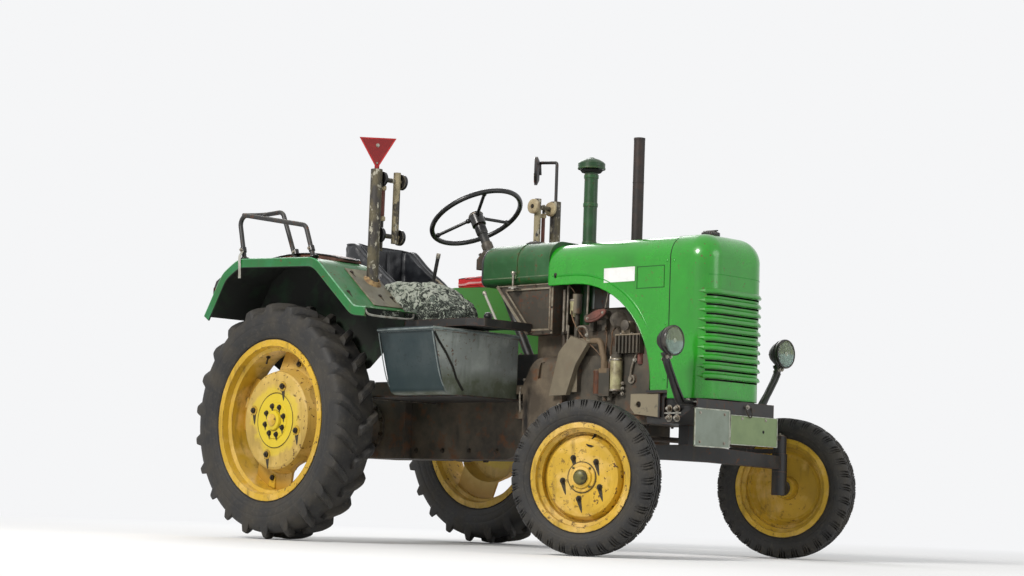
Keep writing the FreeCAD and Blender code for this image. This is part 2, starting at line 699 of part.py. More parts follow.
def make_front_frame():
    """Casting with a shelf that carries the hood, ears at its rear and a bar for the plates."""
    casting = body("FrameCasting")
    pad(casting, "XZ", [
        ("engine_front", "engine_low"), ("wheelbase + 40", "engine_low"),
        ("frame_front", "frame_low + 40"), ("frame_front", "frame_top - 5"),
        ("engine_front", "frame_top - 5"),
    ], "-frame_half", "frame_half")
    recess = [("engine_front + 95", "engine_low + 28"), ("wheelbase + 45", "engine_low + 28"),
              ("wheelbase + 110", "frame_low + 22"), ("wheelbase + 110", "frame_top - 30"),
              ("engine_front + 95", "frame_top - 30")]
    for low, high in (("-frame_half", "-frame_half + 14"), ("frame_half - 14", "frame_half")):
        pocket(casting, "XZ", recess, low, high)
    shelf = body("FrameShelf")
    wide = "hood_half - 1"
    inside = "hood_half - skin - seat_gap"
    front = "cowl_front - skin - seat_gap"
    step = "cowl_seam_x - seam / 2"
    pad(shelf, "XY", [
        ("engine_front + 5", f"-({wide})"), (step, f"-({wide})"), (step, f"-({inside})"),
        (front, f"-({inside})"), (front, inside), (step, inside), (step, wide), ("engine_front + 5", wide),
    ], "frame_top - 12", "frame_top")
    round_edges(shelf, lambda e: along(Z_AXIS)(e) and near(e.CenterOfMass.x, size(front)),
                "cowl_corner - skin - seat_gap")
    pivot = box(("wheelbase - beam_x_half", "wheelbase + beam_x_half"), ("-60", "60"),
                ("boss_top + 10", "engine_low + 5"))
    pieces = [casting, shelf, pivot]
    holes = []
    for side, sign in SIDES:
        ear = body("Ear")
        low, high = sorted([f"{sign} * (frame_half - 2)", f"{sign} * (frame_half + 12)"], key=size)
        pad(ear, "XZ", [
            ("ear_hole_x - 45", "frame_top - 14"), ("ear_hole_x - 45", "ear_hole_z - 14"),
            ("ear_hole_x - 20", "ear_hole_z - 40"), ("engine_front + 80", "engine_low + 25"),
            ("engine_front + 80", "frame_top - 14"),
        ], low, high)
        pieces.append(ear)
        holes.append(cylinder("ear_hole", "14", station("ear_hole_x", low, "ear_hole_z"), ALONG_Y))
    stay = box(("frame_front - 5", "plate_x - 9"), ("-15", "15"), ("frame_low + 40", "frame_low + 58"))
    bar = box(("plate_x - 9", "plate_x - 3"), ("-270", "240"), ("frame_low - 20", "frame_low + 58"))
    node(cut(fuse(*pieces, stay, bar), *holes), "front_frame")


def make_axle_beam():
    beam = body("Beam")
    reach = "kingpin_y - boss_radius + 8"
    pad(beam, "YZ", [
        (f"-({reach})", "boss_low + 12"), ("-140", "boss_low + 22"), ("140", "boss_low + 22"),
        (reach, "boss_low + 12"), (reach, "boss_top - 12"), ("80", "boss_top + 10"),
        ("-80", "boss_top + 10"), (f"-({reach})", "boss_top - 12"),
    ], "wheelbase - beam_x_half", "wheelbase + beam_x_half")
    bosses = []
    bores = []
    for side, sign in SIDES:
        at = station("wheelbase", f"{sign} * kingpin_y", "boss_low")
        bosses.append(cylinder("boss_radius", "boss_top - boss_low", at))
        bores.append(cylinder("kingpin_radius + shaft_gap", "boss_top - boss_low", at))
    node(cut(fuse(beam, *bosses), *bores), "axle_beam")


# Knuckles and steering linkage, in the kingpin's own frame and then turned to the parked angle


def make_knuckles():
    for side, sign in SIDES:
        pin = cylinder("kingpin_radius", "boss_top + 10 - front_tip", ("0", "0", "front_tip"))
        carrier = cylinder("boss_radius", "boss_low - shaft_gap - front_tip + boss_radius",
                           ("0", "0", "front_tip - boss_radius"))
        stub = cylinder("stub_radius", "scrub + 45", ("0", "0", "front_tip"),
                        FreeCAD.Rotation(Z_AXIS, Y_AXIS * sign))
        shoulder = cylinder("stub_radius + 12", "scrub - front_rim_half + 5", ("0", "0", "front_tip"),
                            FreeCAD.Rotation(Z_AXIS, Y_AXIS * sign))
        arm_low = "boss_top + shaft_gap"
        head = cylinder("boss_radius - 4", "arm_thick", ("0", "0", arm_low))
        arm = doc.addObject("Part::Box", "Arm")
        arm.setExpression("Length", bound("steer_arm"))
        arm.setExpression("Width", bound("2 * rod_eye - 8"))
        arm.setExpression("Height", bound("arm_thick"))
        place(arm, ("-steer_arm", "-rod_eye + 4", arm_low))
        eye = cylinder("rod_eye", "arm_thick", ("-steer_arm", "0", arm_low))
        ball = cylinder("pin_radius", "arm_thick + eye_tall + seat_gap", ("-steer_arm", "0", arm_low))
        pieces = [pin, carrier, stub, shoulder, head, arm, eye, ball]
        if side == "left":
            riser = cylinder("boss_radius - 4", "link_arm_z + arm_thick - boss_top - shaft_gap",
                             ("0", "0", arm_low))
            link_arm = doc.addObject("Part::Box", "Arm")
            link_arm.setExpression("Length", bound("2 * rod_eye - 8"))
            link_arm.setExpression("Width", bound("steer_arm"))
            link_arm.setExpression("Height", bound("arm_thick"))
            place(link_arm, ("-rod_eye + 4", "-steer_arm", "link_arm_z"))
            link_eye = cylinder("rod_eye", "arm_thick", ("0", "-steer_arm", "link_arm_z"))
            link_ball = cylinder("pin_radius", "arm_thick + eye_tall + seat_gap",
                                 ("0", "-steer_arm", "link_arm_z"))
            pieces += [riser, link_arm, link_eye, link_ball]
        knuckle = fuse(*pieces)
        place(knuckle, station("wheelbase", f"{sign} * kingpin_y"),
              FreeCAD.Rotation(Z_AXIS, size("parked_steer")))
        node(knuckle, f"knuckle_{side}")


def make_tie_rod():
    """Runs between the two rear arms, square across the tractor at every steering angle."""
    x = "wheelbase - steer_arm * cos(parked_steer * 1deg)"
    swing = "steer_arm * sin(parked_steer * 1deg)"
    low = "boss_top + shaft_gap + arm_thick + seat_gap"
    bar = cylinder("rod_radius", "2 * kingpin_y - 2 * rod_eye + 8",
                   station(x, f"-kingpin_y - {swing} + rod_eye - 4", f"{low} + eye_tall / 2"), ALONG_Y)
    eyes = []
    bores = []
    for side, sign in SIDES:
        at = station(x, f"{sign} * kingpin_y - {swing}", low)
        eyes.append(cylinder("rod_eye", "eye_tall", at))
        bores.append(cylinder("pin_radius + shaft_gap", "eye_tall", at))
    node(cut(fuse(bar, *eyes), *bores), "tie_rod")


def link_front():
    x = "wheelbase + steer_arm * sin(parked_steer * 1deg)"
    y = "kingpin_y - steer_arm * cos(parked_steer * 1deg)"
    return x, y, "link_arm_z + arm_thick + seat_gap"


def parked_drop():
    """Angle of the drop arm from hanging straight down, for the parked steering angle."""
    return "asin(steer_arm * sin(parked_steer * 1deg) / drop_arm)"


def make_drag_link():
    x, y, low = link_front()
    rear_x = f"box_x + drop_arm * sin({parked_drop()})"
    rear_z = f"box_z - drop_arm * cos({parked_drop()})"
    eye = cylinder("rod_eye", "eye_tall", station(x, y, low))
    bore = cylinder("pin_radius + shaft_gap", "eye_tall", station(x, y, low))
    rear_eye = cylinder("rod_eye", "20", station(rear_x, "link_rear_y - 10", rear_z), ALONG_Y)
    front = station(x, y, f"{low} + eye_tall / 2")
    bar = rod(station(rear_x, "link_rear_y", rear_z), front, "rod_radius", "LinkBar")
    node(cut(fuse(bar, eye, rear_eye), bore), "drag_link")


def make_pitman_arm():
    """Hangs from the cross shaft on the left, leaning as the parked wheels ask."""
    arm = doc.addObject("Part::Box", "DropArm")
    arm.setExpression("Length", bound("2 * rod_eye - 8"))
    arm.setExpression("Width", bound("drop_arm_thick"))
    arm.setExpression("Height", bound("drop_arm"))
    place(arm, ("-rod_eye + 4", "drop_arm_y", "-drop_arm"))
    top = cylinder("rod_eye + 8", "drop_arm_thick", ("0", "drop_arm_y", "0"), ALONG_Y)
    foot = cylinder("rod_eye", "drop_arm_thick", ("0", "drop_arm_y", "-drop_arm"), ALONG_Y)
    bore = cylinder("cross_shaft + shaft_gap", "drop_arm_thick", ("0", "drop_arm_y", "0"), ALONG_Y)
    hanging = cut(fuse(arm, top, foot), bore)
    place(hanging, station("box_x", "0", "box_z"), FreeCAD.Rotation(Y_AXIS, -size(parked_drop())))
    node(hanging, "pitman_arm")


def column_place(distance):
    """A place on the column's axis, at a distance below the steering wheel's centre."""
    return station(f"hand_x + ({distance}) * sin(hand_tilt * 1deg)", "0",
                   f"hand_z - ({distance}) * cos(hand_tilt * 1deg)")


def make_steering_gear():
    housing = box(("box_x - 100", "box_x + 75"), ("-60", "95"), ("gearbox_top", "box_z + 45"))
    boss = cylinder("38", "drop_arm_y - 95 - shaft_gap + 5", station("box_x", "90", "box_z"), ALONG_Y)
    shaft = cylinder("cross_shaft", "drop_arm_y + drop_arm_thick - 90 + 4",
                     station("box_x", "90", "box_z"), ALONG_Y)
    length = "(hand_z - box_z) / cos(hand_tilt * 1deg) - 46 - shaft_gap"
    low_end = f"46 + shaft_gap + {length}"
    tilt = FreeCAD.Rotation(Y_AXIS, -size("hand_tilt"))
    column = cylinder("column_radius", length, column_place(low_end), tilt)
    node(fuse(housing, boss, shaft, column), "steering_gear")


def make_steering_wheel():
    rim = doc.addObject("Part::Torus", "HandRim")
    rim.setExpression("Radius1", bound("hand_radius"))
    rim.setExpression("Radius2", bound("hand_grip"))
    hub = cylinder("hand_hub", "56", ("0", "0", "-46"))
    pieces = [rim, hub]
    for k in range(3):
        turn = FreeCAD.Rotation(Z_AXIS, 90 + 120 * k) * ALONG_X
        pieces.append(cylinder("8", "hand_radius", ("0", "0", "0"), turn))
    wheel = fuse(*pieces)
    place(wheel, station("hand_x", "0", "hand_z"), FreeCAD.Rotation(Y_AXIS, -size("hand_tilt")))
    node(wheel, "steering_wheel")


# Hood: cowl, bonnet, radiator, tank and what stands on them


def hood_profile(low):
    return [("-hood_half", low), ("hood_half", low), ("hood_half", "hood_top"), ("-hood_half", "hood_top")]


def make_bonnet():
    hood = body("Bonnet")
    pad(hood, "YZ", hood_profile("frame_top"), "hood_rear", "cowl_seam_x - seam / 2")
    top = size("hood_top")
    round_edges(hood, lambda e: along(X_AXIS)(e) and near(e.CenterOfMass.z, top), "hood_shoulder")
    ends = (size("hood_rear"), size("cowl_seam_x - seam / 2"))
    shelled(hood, lambda f: any(near(f.CenterOfMass.x, end) for end in ends)
            or near(f.CenterOfMass.z, size("frame_top")), "skin")
    arch = body("ArchTool")
    behind = "arch_front - arch_radius - hood_half"
    pad(arch, "XZ", [(behind, "frame_top - 10"), ("arch_front", "frame_top - 10"),
                     ("arch_front", "arch_top"), (behind, "arch_top")], "-hood_half - 10", "hood_half + 10")
    round_edges(arch, lambda e: along(Y_AXIS)(e) and near(e.CenterOfMass.x, size("arch_front"))
                and near(e.CenterOfMass.z, size("arch_top")), "arch_radius")
    holes = [cylinder(radius, "60", station(x, "0", "hood_top - 30"))
             for x, radius in ((engine_x("exhaust_share"), "exhaust_radius + 6"),
                               ("intake_x", "intake_radius + 5"))]
    node(cut(hood, arch, *holes), "bonnet")


def corner_point(turned_by, out, height):
    """A point on the cowl's right corner: degrees round from the side, how far it stands out, its height."""
    radius = size("cowl_corner") + out
    angle = math.radians(turned_by)
    return FreeCAD.Vector(size("cowl_front - cowl_corner") + radius * math.sin(angle),
                          -size("hood_half - cowl_corner") - radius * math.cos(angle), height)


def front_band(section, height, start):
    """A bar with the given (out, up) section, round both corners and across the cowl's front."""
    ring = flat_face(*[corner_point(start, out, height + up) for out, up in section])
    centre = FreeCAD.Vector(size("cowl_front - cowl_corner"), -size("hood_half - cowl_corner"), 0)
    right = ring.revolve(centre, Z_AXIS, 90 - start)
    front = flat_face(*[corner_point(90, out, height + up) for out, up in section])
    across = front.extrude(Y_AXIS * (2 * size("hood_half - cowl_corner")))
    return right.multiFuse([across, right.mirror(FreeCAD.Vector(), Y_AXIS)])


def louvre_end(section, height):
    """The pointed end of a louvre on the right corner."""
    start = size("louvre_start")
    end = start - size("louvre_tip")
    rings = []
    for turned_by, share in ((start, 1), (end, 0.15)):
        corners = [corner_point(turned_by, (out + 1) * share - 1, height + up * share) for out, up in section]
        rings.append(Part.makePolygon(corners + corners[:1]))
    return Part.makeLoft(rings, True, True)


def make_grille_cowl():
    """Cowl whose louvres are pressed out of the sheet, each over an open slot."""
    cowl = body("Cowl")
    rear = "cowl_seam_x + seam / 2"
    pad(cowl, "XY", [(rear, "-hood_half"), ("cowl_front", "-hood_half"), ("cowl_front", "hood_half"),
                     (rear, "hood_half")], "cowl_low", "hood_top")
    front = size("cowl_front")
    rear_x = size(rear)
    round_edges(cowl, lambda e: along(Z_AXIS)(e) and near(e.CenterOfMass.x, front), "cowl_corner")
    top = size("hood_top")
    low = size("cowl_low")
    round_edges(cowl, lambda e: near(e.BoundBox.ZMin, top) and not near(e.BoundBox.XMax, rear_x),
                "hood_shoulder")
    shelled(cowl, lambda f: near(f.CenterOfMass.x, rear_x) or near(f.CenterOfMass.z, low), "skin")
    tall = size("louvre_tall")
    rise = size("louvre_rise")
    # Columns: how far out and how far up a corner of the louvre's section is
    section = [(-1, tall / 2), (rise * 0.6, tall * 0.2), (rise, -tall * 0.18), (rise * 0.8, -tall * 0.4),
               (-1, -tall / 2)]
    slot = [(out, up - tall / 2) for out, up in ((-8, -1), (3, -1), (3, -1 - size("slot_tall")),
                                                 (-8, -1 - size("slot_tall")))]
    bars = []
    slots = []
    for k in range(int(size("louvre_count"))):
        height = size("louvre_top") - k * size("louvre_pitch")
        end = louvre_end(section, height)
        bars += [front_band(section, height, size("louvre_start")), end,
                 end.mirror(FreeCAD.Vector(), Y_AXIS)]
        slots.append(front_band(slot, height, size("louvre_start") + 4))
    louvres = solid_feature(bars[0].multiFuse(bars[1:]), "Louvres")
    openings = solid_feature(Part.makeCompound(slots), "Slots")
    node(cut(fuse(cowl, louvres), openings), "grille_cowl")


def make_radiator():
    """Finned core between two tanks, with a neck up to the cap on the hood."""
    core = box(("radiator_rear + 12", "radiator_front - 12"), ("-160", "160"),
               ("frame_top + 10", "radiator_top - 20"))
    tanks = [box(("radiator_rear", "radiator_front"), ("-168", "168"), levels)
             for levels in (("frame_top", "frame_top + 55"), ("radiator_top - 65", "radiator_top"))]
    neck = cylinder("24", "hood_top - skin - seat_gap - radiator_top + 1",
                    station("cap_x + 8", "0", "radiator_top - 1"))
    hose_start = "engine_front - 40 + seat_gap"
    hose = cylinder("hose_radius", f"radiator_rear + 14 - ({hose_start})",
                    station(hose_start, "70", "head_top - 32"), ALONG_X)
    lower_hose = cylinder("hose_radius", "radiator_rear + 5 - engine_front - seat_gap",
                          station("engine_front + seat_gap", "-90", "frame_top + 30"), ALONG_X)
    node(fuse(core, *tanks, neck, hose, lower_hose), "radiator")


def make_fuel_tank():
    """Tank with a rounded rear end and a flat strap over it."""
    tank = body("Tank")
    pad(tank, "YZ", [("-hood_half", "tank_low"), ("hood_half", "tank_low"), ("hood_half", "tank_top"),
                     ("-hood_half", "tank_top")], "tank_rear", "hood_rear - seat_gap")
    top = size("tank_top")
    low = size("tank_low")
    rear = size("tank_rear")
    round_edges(tank, lambda e: along(X_AXIS)(e) and near(e.CenterOfMass.z, top), "tank_shoulder")
    round_edges(tank, lambda e: along(X_AXIS)(e) and near(e.CenterOfMass.z, low), "30")
    round_edges(tank, lambda e: near(e.BoundBox.XMin, rear) and near(e.BoundBox.XMax, rear), "25")
    strap = body("Strap")
    wide = "hood_half + skin"
    over = "tank_top + skin"
    pad(strap, "YZ", [(f"-({wide})", "tank_low + 40"), (wide, "tank_low + 40"), (wide, over),
                      (f"-({wide})", over)], "strap_x", "strap_x + 26")
    round_edges(strap, lambda e: along(X_AXIS)(e) and near(e.CenterOfMass.z, size(over)),
                "tank_shoulder + skin")
    node(fuse(tank, strap), "fuel_tank")


def make_caps():
    """Caps with a wide turned grip over a narrower neck."""
    caps = []
    # Columns: station, level, radius
    table = (("cap_x", "hood_top", "cap_radius"), ("tank_cap_x", "tank_top", "cap_radius + 7"))
    for x, level, radius in table:
        neck = cylinder(f"{radius} - 10", "10", station(x, "0", level))
        grip = cylinder(radius, "14", station(x, "0", f"{level} + 8"))
        crown = cone(f"{radius} - 3", f"{radius} - 14", "7", station(x, "0", f"{level} + 22"))
        caps.append(fuse(neck, grip, crown))
    node(apart(*caps), "filler_caps")


def make_pipes():
    exhaust = engine_x("exhaust_share")
    pipe = cylinder("exhaust_radius", "exhaust_top - rocker_top", station(exhaust, "0", "rocker_top"))
    flange = cylinder("exhaust_radius + 3", "14", station(exhaust, "0", "rocker_top"))
    node(fuse(pipe, flange), "exhaust_pipe")
    stem = cylinder("intake_radius", "intake_top - bell_top", station("intake_x", "0", "bell_top"))
    foot = cylinder("intake_radius + 3", "16", station("intake_x", "0", "bell_top"))
    cap = body("IntakeCap", station("intake_x", "0", "intake_top"), FreeCAD.Rotation(Y_AXIS, Z_AXIS))
    wide = "mushroom_radius"
    turned(cap, [("-4", "0"), ("-4", f"{wide} - 8"), ("0", wide), ("22", wide), ("30", f"{wide} - 8"),
                 ("39", f"{wide} - 24"), ("45", f"{wide} - 42"), ("47", "0")])
    node(fuse(stem, foot, cap), "air_intake")


def make_dash_console():
    console = body("Console")
    foot = "console_rear + 205"
    pad(console, "XZ", [("console_rear", "tank_low"), (foot, "bell_top"), ("console_front", "bell_top"),
                        ("console_front", "tank_low")], "-console_half", "console_half")
    panel = [("console_rear + 55", "tank_low - 22"), (f"{foot} + 15", "bell_top + 22"),
             ("console_front - 22", "bell_top + 22"), ("console_front - 22", "tank_low - 22")]
    for low, high in (("-console_half", "-console_half + 6"), ("console_half - 6", "console_half")):
        pocket(console, "XZ", panel, low, high)
    dash = body("Dash")
    rear = "tank_rear - 130"
    pad(dash, "XZ", [(rear, "tank_top - 95"), ("tank_rear", "tank_top - 95"), ("tank_rear", "tank_top - 5"),
                     (f"{rear} + 45", "tank_top - 5"), (rear, "tank_top - 45")], "-dash_half", "dash_half")
    round_edges(dash, lambda e: not along(Y_AXIS)(e) and near(abs(e.CenterOfMass.y), size("dash_half"))
                and e.BoundBox.XMin < size("tank_rear") - 1 and e.BoundBox.ZMax > size("tank_top") - 94, "18")
    tilt = FreeCAD.Rotation(Y_AXIS, -size("hand_tilt"))
    way = cylinder("column_radius + 1", "400", column_place("400"), tilt)
    node(apart(console, cut(dash, way)), "dash_console")


# Fenders and what stands on them


def fender_line():
    names = (("tail_x", "tail_z"), ("haunch_x", "haunch_z"), ("crown_x", "crown_z"),
             ("brow_x", "brow_z"), ("toe_x", "toe_z"), ("tip_x", "tip_z"))
    return [(size(x), size(z)) for x, z in names]


def fender_bends():
    """Bend radii at the haunch, the crown, the brow and the toe."""
    return [size("fender_bend"), size("fender_bend"), size("fender_bend"), size("toe_bend")]


def below_fender(low, high):
    """A tool that takes away all that reaches under the fender's outer face."""
    line = fender_line()
    floor = size("pad_top")
    corners = line + [(line[-1][0], floor), (line[0][0], floor)]
    return rounded_plate(corners, fender_bends() + [0, 0], low, high)


def make_fenders():
    line = fender_line()
    for side, sign in SIDES:
        def wall(low, high):
            return sorted([f"{sign} * ({low})", f"{sign} * ({high})"], key=size)

        top = bent_strip(line, fender_bends(), size("skin"), *wall("fender_in", "fender_out"))
        lip = bent_strip(line, fender_bends(), size("fender_lip"), *wall("fender_out - skin", "fender_out"))
        foot = [("toe_x", "toe_z - 80"), ("toe_x - 220", "pad_top + 80"), ("pad_half", "pad_top"),
                ("-pad_half", "pad_top"), ("haunch_x", "pad_top + 130"), ("tail_x", "tail_z - 60")]
        web_line = line[:5] + [(size(x), size(z)) for x, z in foot]
        web = rounded_plate(web_line, fender_bends()[:3] + [0] * 6, *wall("fender_in", "fender_in + skin"))
        flange = box(("-pad_half", "pad_half"), wall("trumpet_end + 5", "fender_in + 1"),
                     ("pad_top", "pad_top + 5"))
        node(fuse(top, lip, web, flange), f"fender_{side}")


def slope_line():
    """The straight part of the fender's front slope, between its bends."""
    (brow_x, brow_z), (toe_x, toe_z) = fender_line()[3:5]
    return [(brow_x + share * (toe_x - brow_x), brow_z + share * (toe_z - brow_z)) for share in (0.17, 0.94)]


def make_slope_plates():
    plates = []
    for side, sign in SIDES:
        low, high = sorted([f"{sign} * (fender_in)", f"{sign} * (fender_in + 170)"], key=size)
        plates.append(side_plate(strip_points(slope_line(), -size("slope_plate")), low, high))
    node(apart(*plates), "slope_plates")


def make_posts():
    """Steel posts with rollers, that held a roll bar on each fender."""
    seat = strip_points(slope_line(), -size("slope_plate"))[2:][::-1]
    posts = []
    for side, sign in SIDES:
        post = cylinder("post_radius", "post_top - toe_z", station("post_x", f"{sign} * post_y", "toe_z"))
        low, high = sorted([f"{sign} * (post_y - 60)", f"{sign} * (post_y + 60)"], key=size)
        below = side_plate(strip_points(seat, 400), low, high)
        slim = cylinder("slim_radius", "post_top - slim_low",
                        station("post_x", f"{sign} * slim_y", "slim_low"))
        pieces = [cut(post, below), slim]
        turn = FreeCAD.Rotation(Z_AXIS, Y_AXIS * sign)
        strut_x = "post_x - slim_radius - 4"
        strut_y = f"{sign} * (slim_y + post_y) / 2"
        pieces.append(rod(station(strut_x, strut_y, "slim_low - 40"),
                          station(strut_x, strut_y, "post_top - 20"), "strut_radius", "Strut"))
        for z in ("post_top - 40", "slim_low + 30"):
            pin_at = station("post_x", f"{sign} * (slim_y - 38)", z)
            pieces.append(cylinder("11", "post_y - slim_y + 38", pin_at, turn))
            pieces.append(cylinder("roller_radius", "18", pin_at, turn))
            pieces.append(box((f"{strut_x} - strut_radius", "post_x"),
                              (f"{strut_y} - strut_radius", f"{strut_y} + strut_radius"),
                              (f"{z} - strut_radius", f"{z} + strut_radius")))
        posts.append(fuse(*pieces))
    node(apart(*posts), "fender_posts")


def make_reflector():
    """Inverted triangle on the right post, turned towards the road side."""
    half = size("triangle_side") / 2
    height = half * math.sqrt(3)
    face = flat_face(FreeCAD.Vector(), FreeCAD.Vector(0, half, height), FreeCAD.Vector(0, -half, height))
    triangle = solid_feature(face.extrude(X_AXIS * 4), "Triangle")
    place(triangle, ("0", "0", "0"))
    stem = doc.addObject("Part::Box", "Stem")
    stem.Length, stem.Width, stem.Height = 5, 22, 60
    place(stem, ("-4", "-11", "0"))
    sign = fuse(triangle, stem)
    place(sign, station("post_x", "-post_y", "post_top"), FreeCAD.Rotation(Z_AXIS, -40))
    node(sign, "reflector")


def make_mirror():
    x, y = "post_x", "post_y"
    middle = "post_top + mirror_rise"
    tilt = FreeCAD.Rotation(Z_AXIS, FreeCAD.Vector(-0.74, -0.67, 0))
    bowl = cylinder("mirror_radius", "14", station("mirror_x + 10", y, middle), tilt)
    back = cone("mirror_radius - 22", "mirror_radius", "10",
                station("mirror_x + 10 + 10 * 0.7413", f"{y} + 10 * 0.6712", middle), tilt)
    glass_at = station("mirror_x + 10 - 14 * 0.7413", f"{y} - 14 * 0.6712", middle)
    glass = cylinder("mirror_radius - 5", "2", glass_at, tilt)
    arm = bent_tube([(x, y, "post_top"), (x, y, f"{middle} + 30"),
                     ("mirror_x + 16", f"{y} + 8", f"{middle} + 42"),
                     ("mirror_x + 20", f"{y} + 10", f"{middle} - 20")], "8", 12, "MirrorArm")
    node(fuse(arm, bowl, back), "mirror_housing")
    node(glass, "mirror_glass")


def make_grab_rail():
    """Two bent tubes over the right fender, the outer one along its edge."""
    y = "-rail_y"
    outer = bent_tube([("rail_rear + 56", y, "crown_z"), ("rail_rear", y, "rail_top"),
                       ("rail_front", y, "rail_top - 85"), ("rail_front + 68", y, "brow_z - 2")],
                      "rail_radius", 40, "OuterRail")
    inner = bent_tube([("rail_rear + 25", f"{y} + 4", "rail_top - 6"),
                       ("rail_rear + 25", "-rail_in_y", "rail_top + 10"),
                       ("rail_front - 325", "-rail_in_y", "rail_top + 15"),
                       ("rail_front - 198", "-rail_in_y", "crown_z - 30")], "rail_radius", 40, "InnerRail")
    node(cut(fuse(outer, inner), below_fender("-fender_out - 50", "-fender_in")), "grab_rail")


# The driver's place


def make_seat():
    """Bucket seat: a rounded shell with a raised back and wings that fall towards the front."""
    seat = body("Seat")
    pad(seat, "XZ", [("seat_rear + 30", "seat_low"), ("seat_front", "seat_low"), ("seat_front", "seat_wing"),
                     ("seat_rear + 90", "seat_back"), ("seat_rear", "seat_back"),
                     ("seat_rear", "seat_low + 60")], "-seat_half", "seat_half")
    round_edges(seat, along(Y_AXIS), "24")
    round_edges(seat, lambda e: near(abs(e.CenterOfMass.y), size("seat_half")), "16")
    hollow = body("SeatHollow")
    inner = "seat_half - seat_wall"
    pad(hollow, "YZ", [(f"-({inner})", "seat_pan"), (inner, "seat_pan"), (inner, "seat_back + 10"),
                       (f"-({inner})", "seat_back + 10")], "seat_rear + seat_wall", "seat_front + 10")
    pan = size("seat_pan")
    rear = size("seat_rear + seat_wall")
    round_edges(hollow, lambda e: near(e.BoundBox.ZMax, pan) and e.BoundBox.XMax < size("seat_front + 11")
                and not (near(e.BoundBox.XMin, size("seat_front + 10"))), "30")
    node(cut(seat, hollow), "seat")
    plate = box(("-120", "150"), ("-120", "120"), ("seat_low - 20", "seat_low - seat_gap"))
    post = cylinder("32", "seat_low - 20 - housing_top", station("0", "0", "housing_top"))
    foot = box(("-70", "70"), ("-70", "70"), ("housing_top", "housing_top + 14"))
    node(fuse(plate, post, foot), "seat_bracket")


def make_pads():
    right = body("RightPad")
    pad(right, "XZ", [("cushion_rear", "bench_top + seat_gap"), ("cushion_front", "bench_top + seat_gap"),
                      ("cushion_front - 30", "cushion_top - 130"),
                      ("cushion_front - 170", "cushion_top - 40"),
                      ("cushion_rear + 90", "cushion_top"), ("cushion_rear", "cushion_top - 20")],
        "-fender_in + 6", "-bench_in - 6")
    node(right, "right_pad")
    left = body("LeftPad")
    rise = "(crown_z - brow_z) / (brow_x - crown_x)"
    seat_z = "crown_z + seat_gap"
    pad(left, "XZ", [("crown_x + 10", seat_z), ("250", f"{seat_z} - (250 - crown_x - 10) * {rise}"),
                     ("250", "crown_z + 52"), ("crown_x + 10", "crown_z + 66")],
        "fender_in + 20", "fender_out - 40")
    node(left, "left_pad")


def make_footboards():
    boards = [
        box(("board_rear", "board_front"), ("gearbox_half", "fender_in"),
            ("board_top - board_thick", "board_top")),
        box(("board_rear", "tub_front + 30"), ("-fender_in", "-gearbox_half"),
            ("board_top - board_thick", "board_top")),
    ]
    node(apart(*boards), "footboards")


def make_side_bench():
    bench = body("Bench")
    pad(bench, "XY", [("cushion_rear - 30", "-fender_in"), ("bench_front - 60", "-fender_in"),
                      ("bench_front", "-fender_in + 60"), ("bench_front", "-185"),
                      ("bench_front - 15", "-185"), ("bench_front - 60", "-bench_in"),
                      ("cushion_rear - 30", "-bench_in")], "bench_low", "bench_top")
    node(bench, "side_bench")


def make_side_tub():
    """Open sheet tub with a leaning outer wall and a rim band, standing on the right footboard."""
    tub = body("Tub")
    low = "board_top + seat_gap"
    pad(tub, "YZ", [("-tub_out", "tub_top"), ("-tub_out + tub_taper", low), ("-tub_in", low),
                    ("-tub_in", "tub_top")], "tub_rear", "tub_front")
    floor = size(low)
    round_edges(tub, lambda e: along(X_AXIS)(e) and near(e.CenterOfMass.z, floor)
                and e.CenterOfMass.y < size("-tub_in") - 10, "40")
    shelled(tub, lambda f: near(f.CenterOfMass.z, size("tub_top")), "skin")
    rim = box(("tub_rear - 4", "tub_front + 5"), ("-tub_out - 5", "-tub_in + 5"), ("tub_top - 18", "tub_top"))
    mouth = box(("tub_rear + 1", "tub_front - 1"), ("-tub_out + 5", "-tub_in - 1"),
                ("tub_top - 20", "tub_top + 1"))
    node(fuse(tub, cut(rim, mouth)), "side_tub")


def make_controls():
    top = "gearbox_top + 35"
    gear = rod(station("600", "20", f"{top} + 8"), station("560", "70", "1080"), "9", "GearLever")
    gear_foot = cylinder("24", "16", station("600", "20", top))
    knob = doc.addObject("Part::Sphere", "Knob")
    knob.setExpression("Radius", bound("knob_radius"))
    place(knob, station("560", "70", "1085"))
    side_foot = cylinder("20", "16", station("560", "-60", top))
    side_lever = bent_tube([("560", "-60", f"{top} + 8"), ("520", "-150", "1000"), ("420", "-165", "1240"),
                            ("450", "-165", "1370")], "9", 40, "SideLever")
    hand = rod(station("998", "-310", "bench_top + 6"), station("915", "-310", "1147"), "6", "HandLever")
    hand_foot = cylinder("12", "10", station("998", "-310", "bench_top"))
    levers = [fuse(gear, gear_foot, knob), fuse(side_lever, side_foot), fuse(hand, hand_foot)]
    for side, sign in SIDES:
        y = f"{sign} * (gearbox_half + 24)"
        stalk = rod(station("pedal_x", y, "board_top + 8"), station("pedal_x + 60", y, "board_top + 120"),
                    "7", "PedalStalk")
        foot = box(("pedal_x - 20", "pedal_x + 20"), (f"{y} - 14", f"{y} + 14"),
                   ("board_top", "board_top + 12"))
        tread = box(("pedal_x + 35", "pedal_x + 85"), (f"{y} - 22", f"{y} + 22"),
                    ("board_top + 116", "board_top + 128"))
        levers.append(fuse(stalk, foot, tread))
    node(apart(*levers), "controls")


# Lamps, plates and hitch


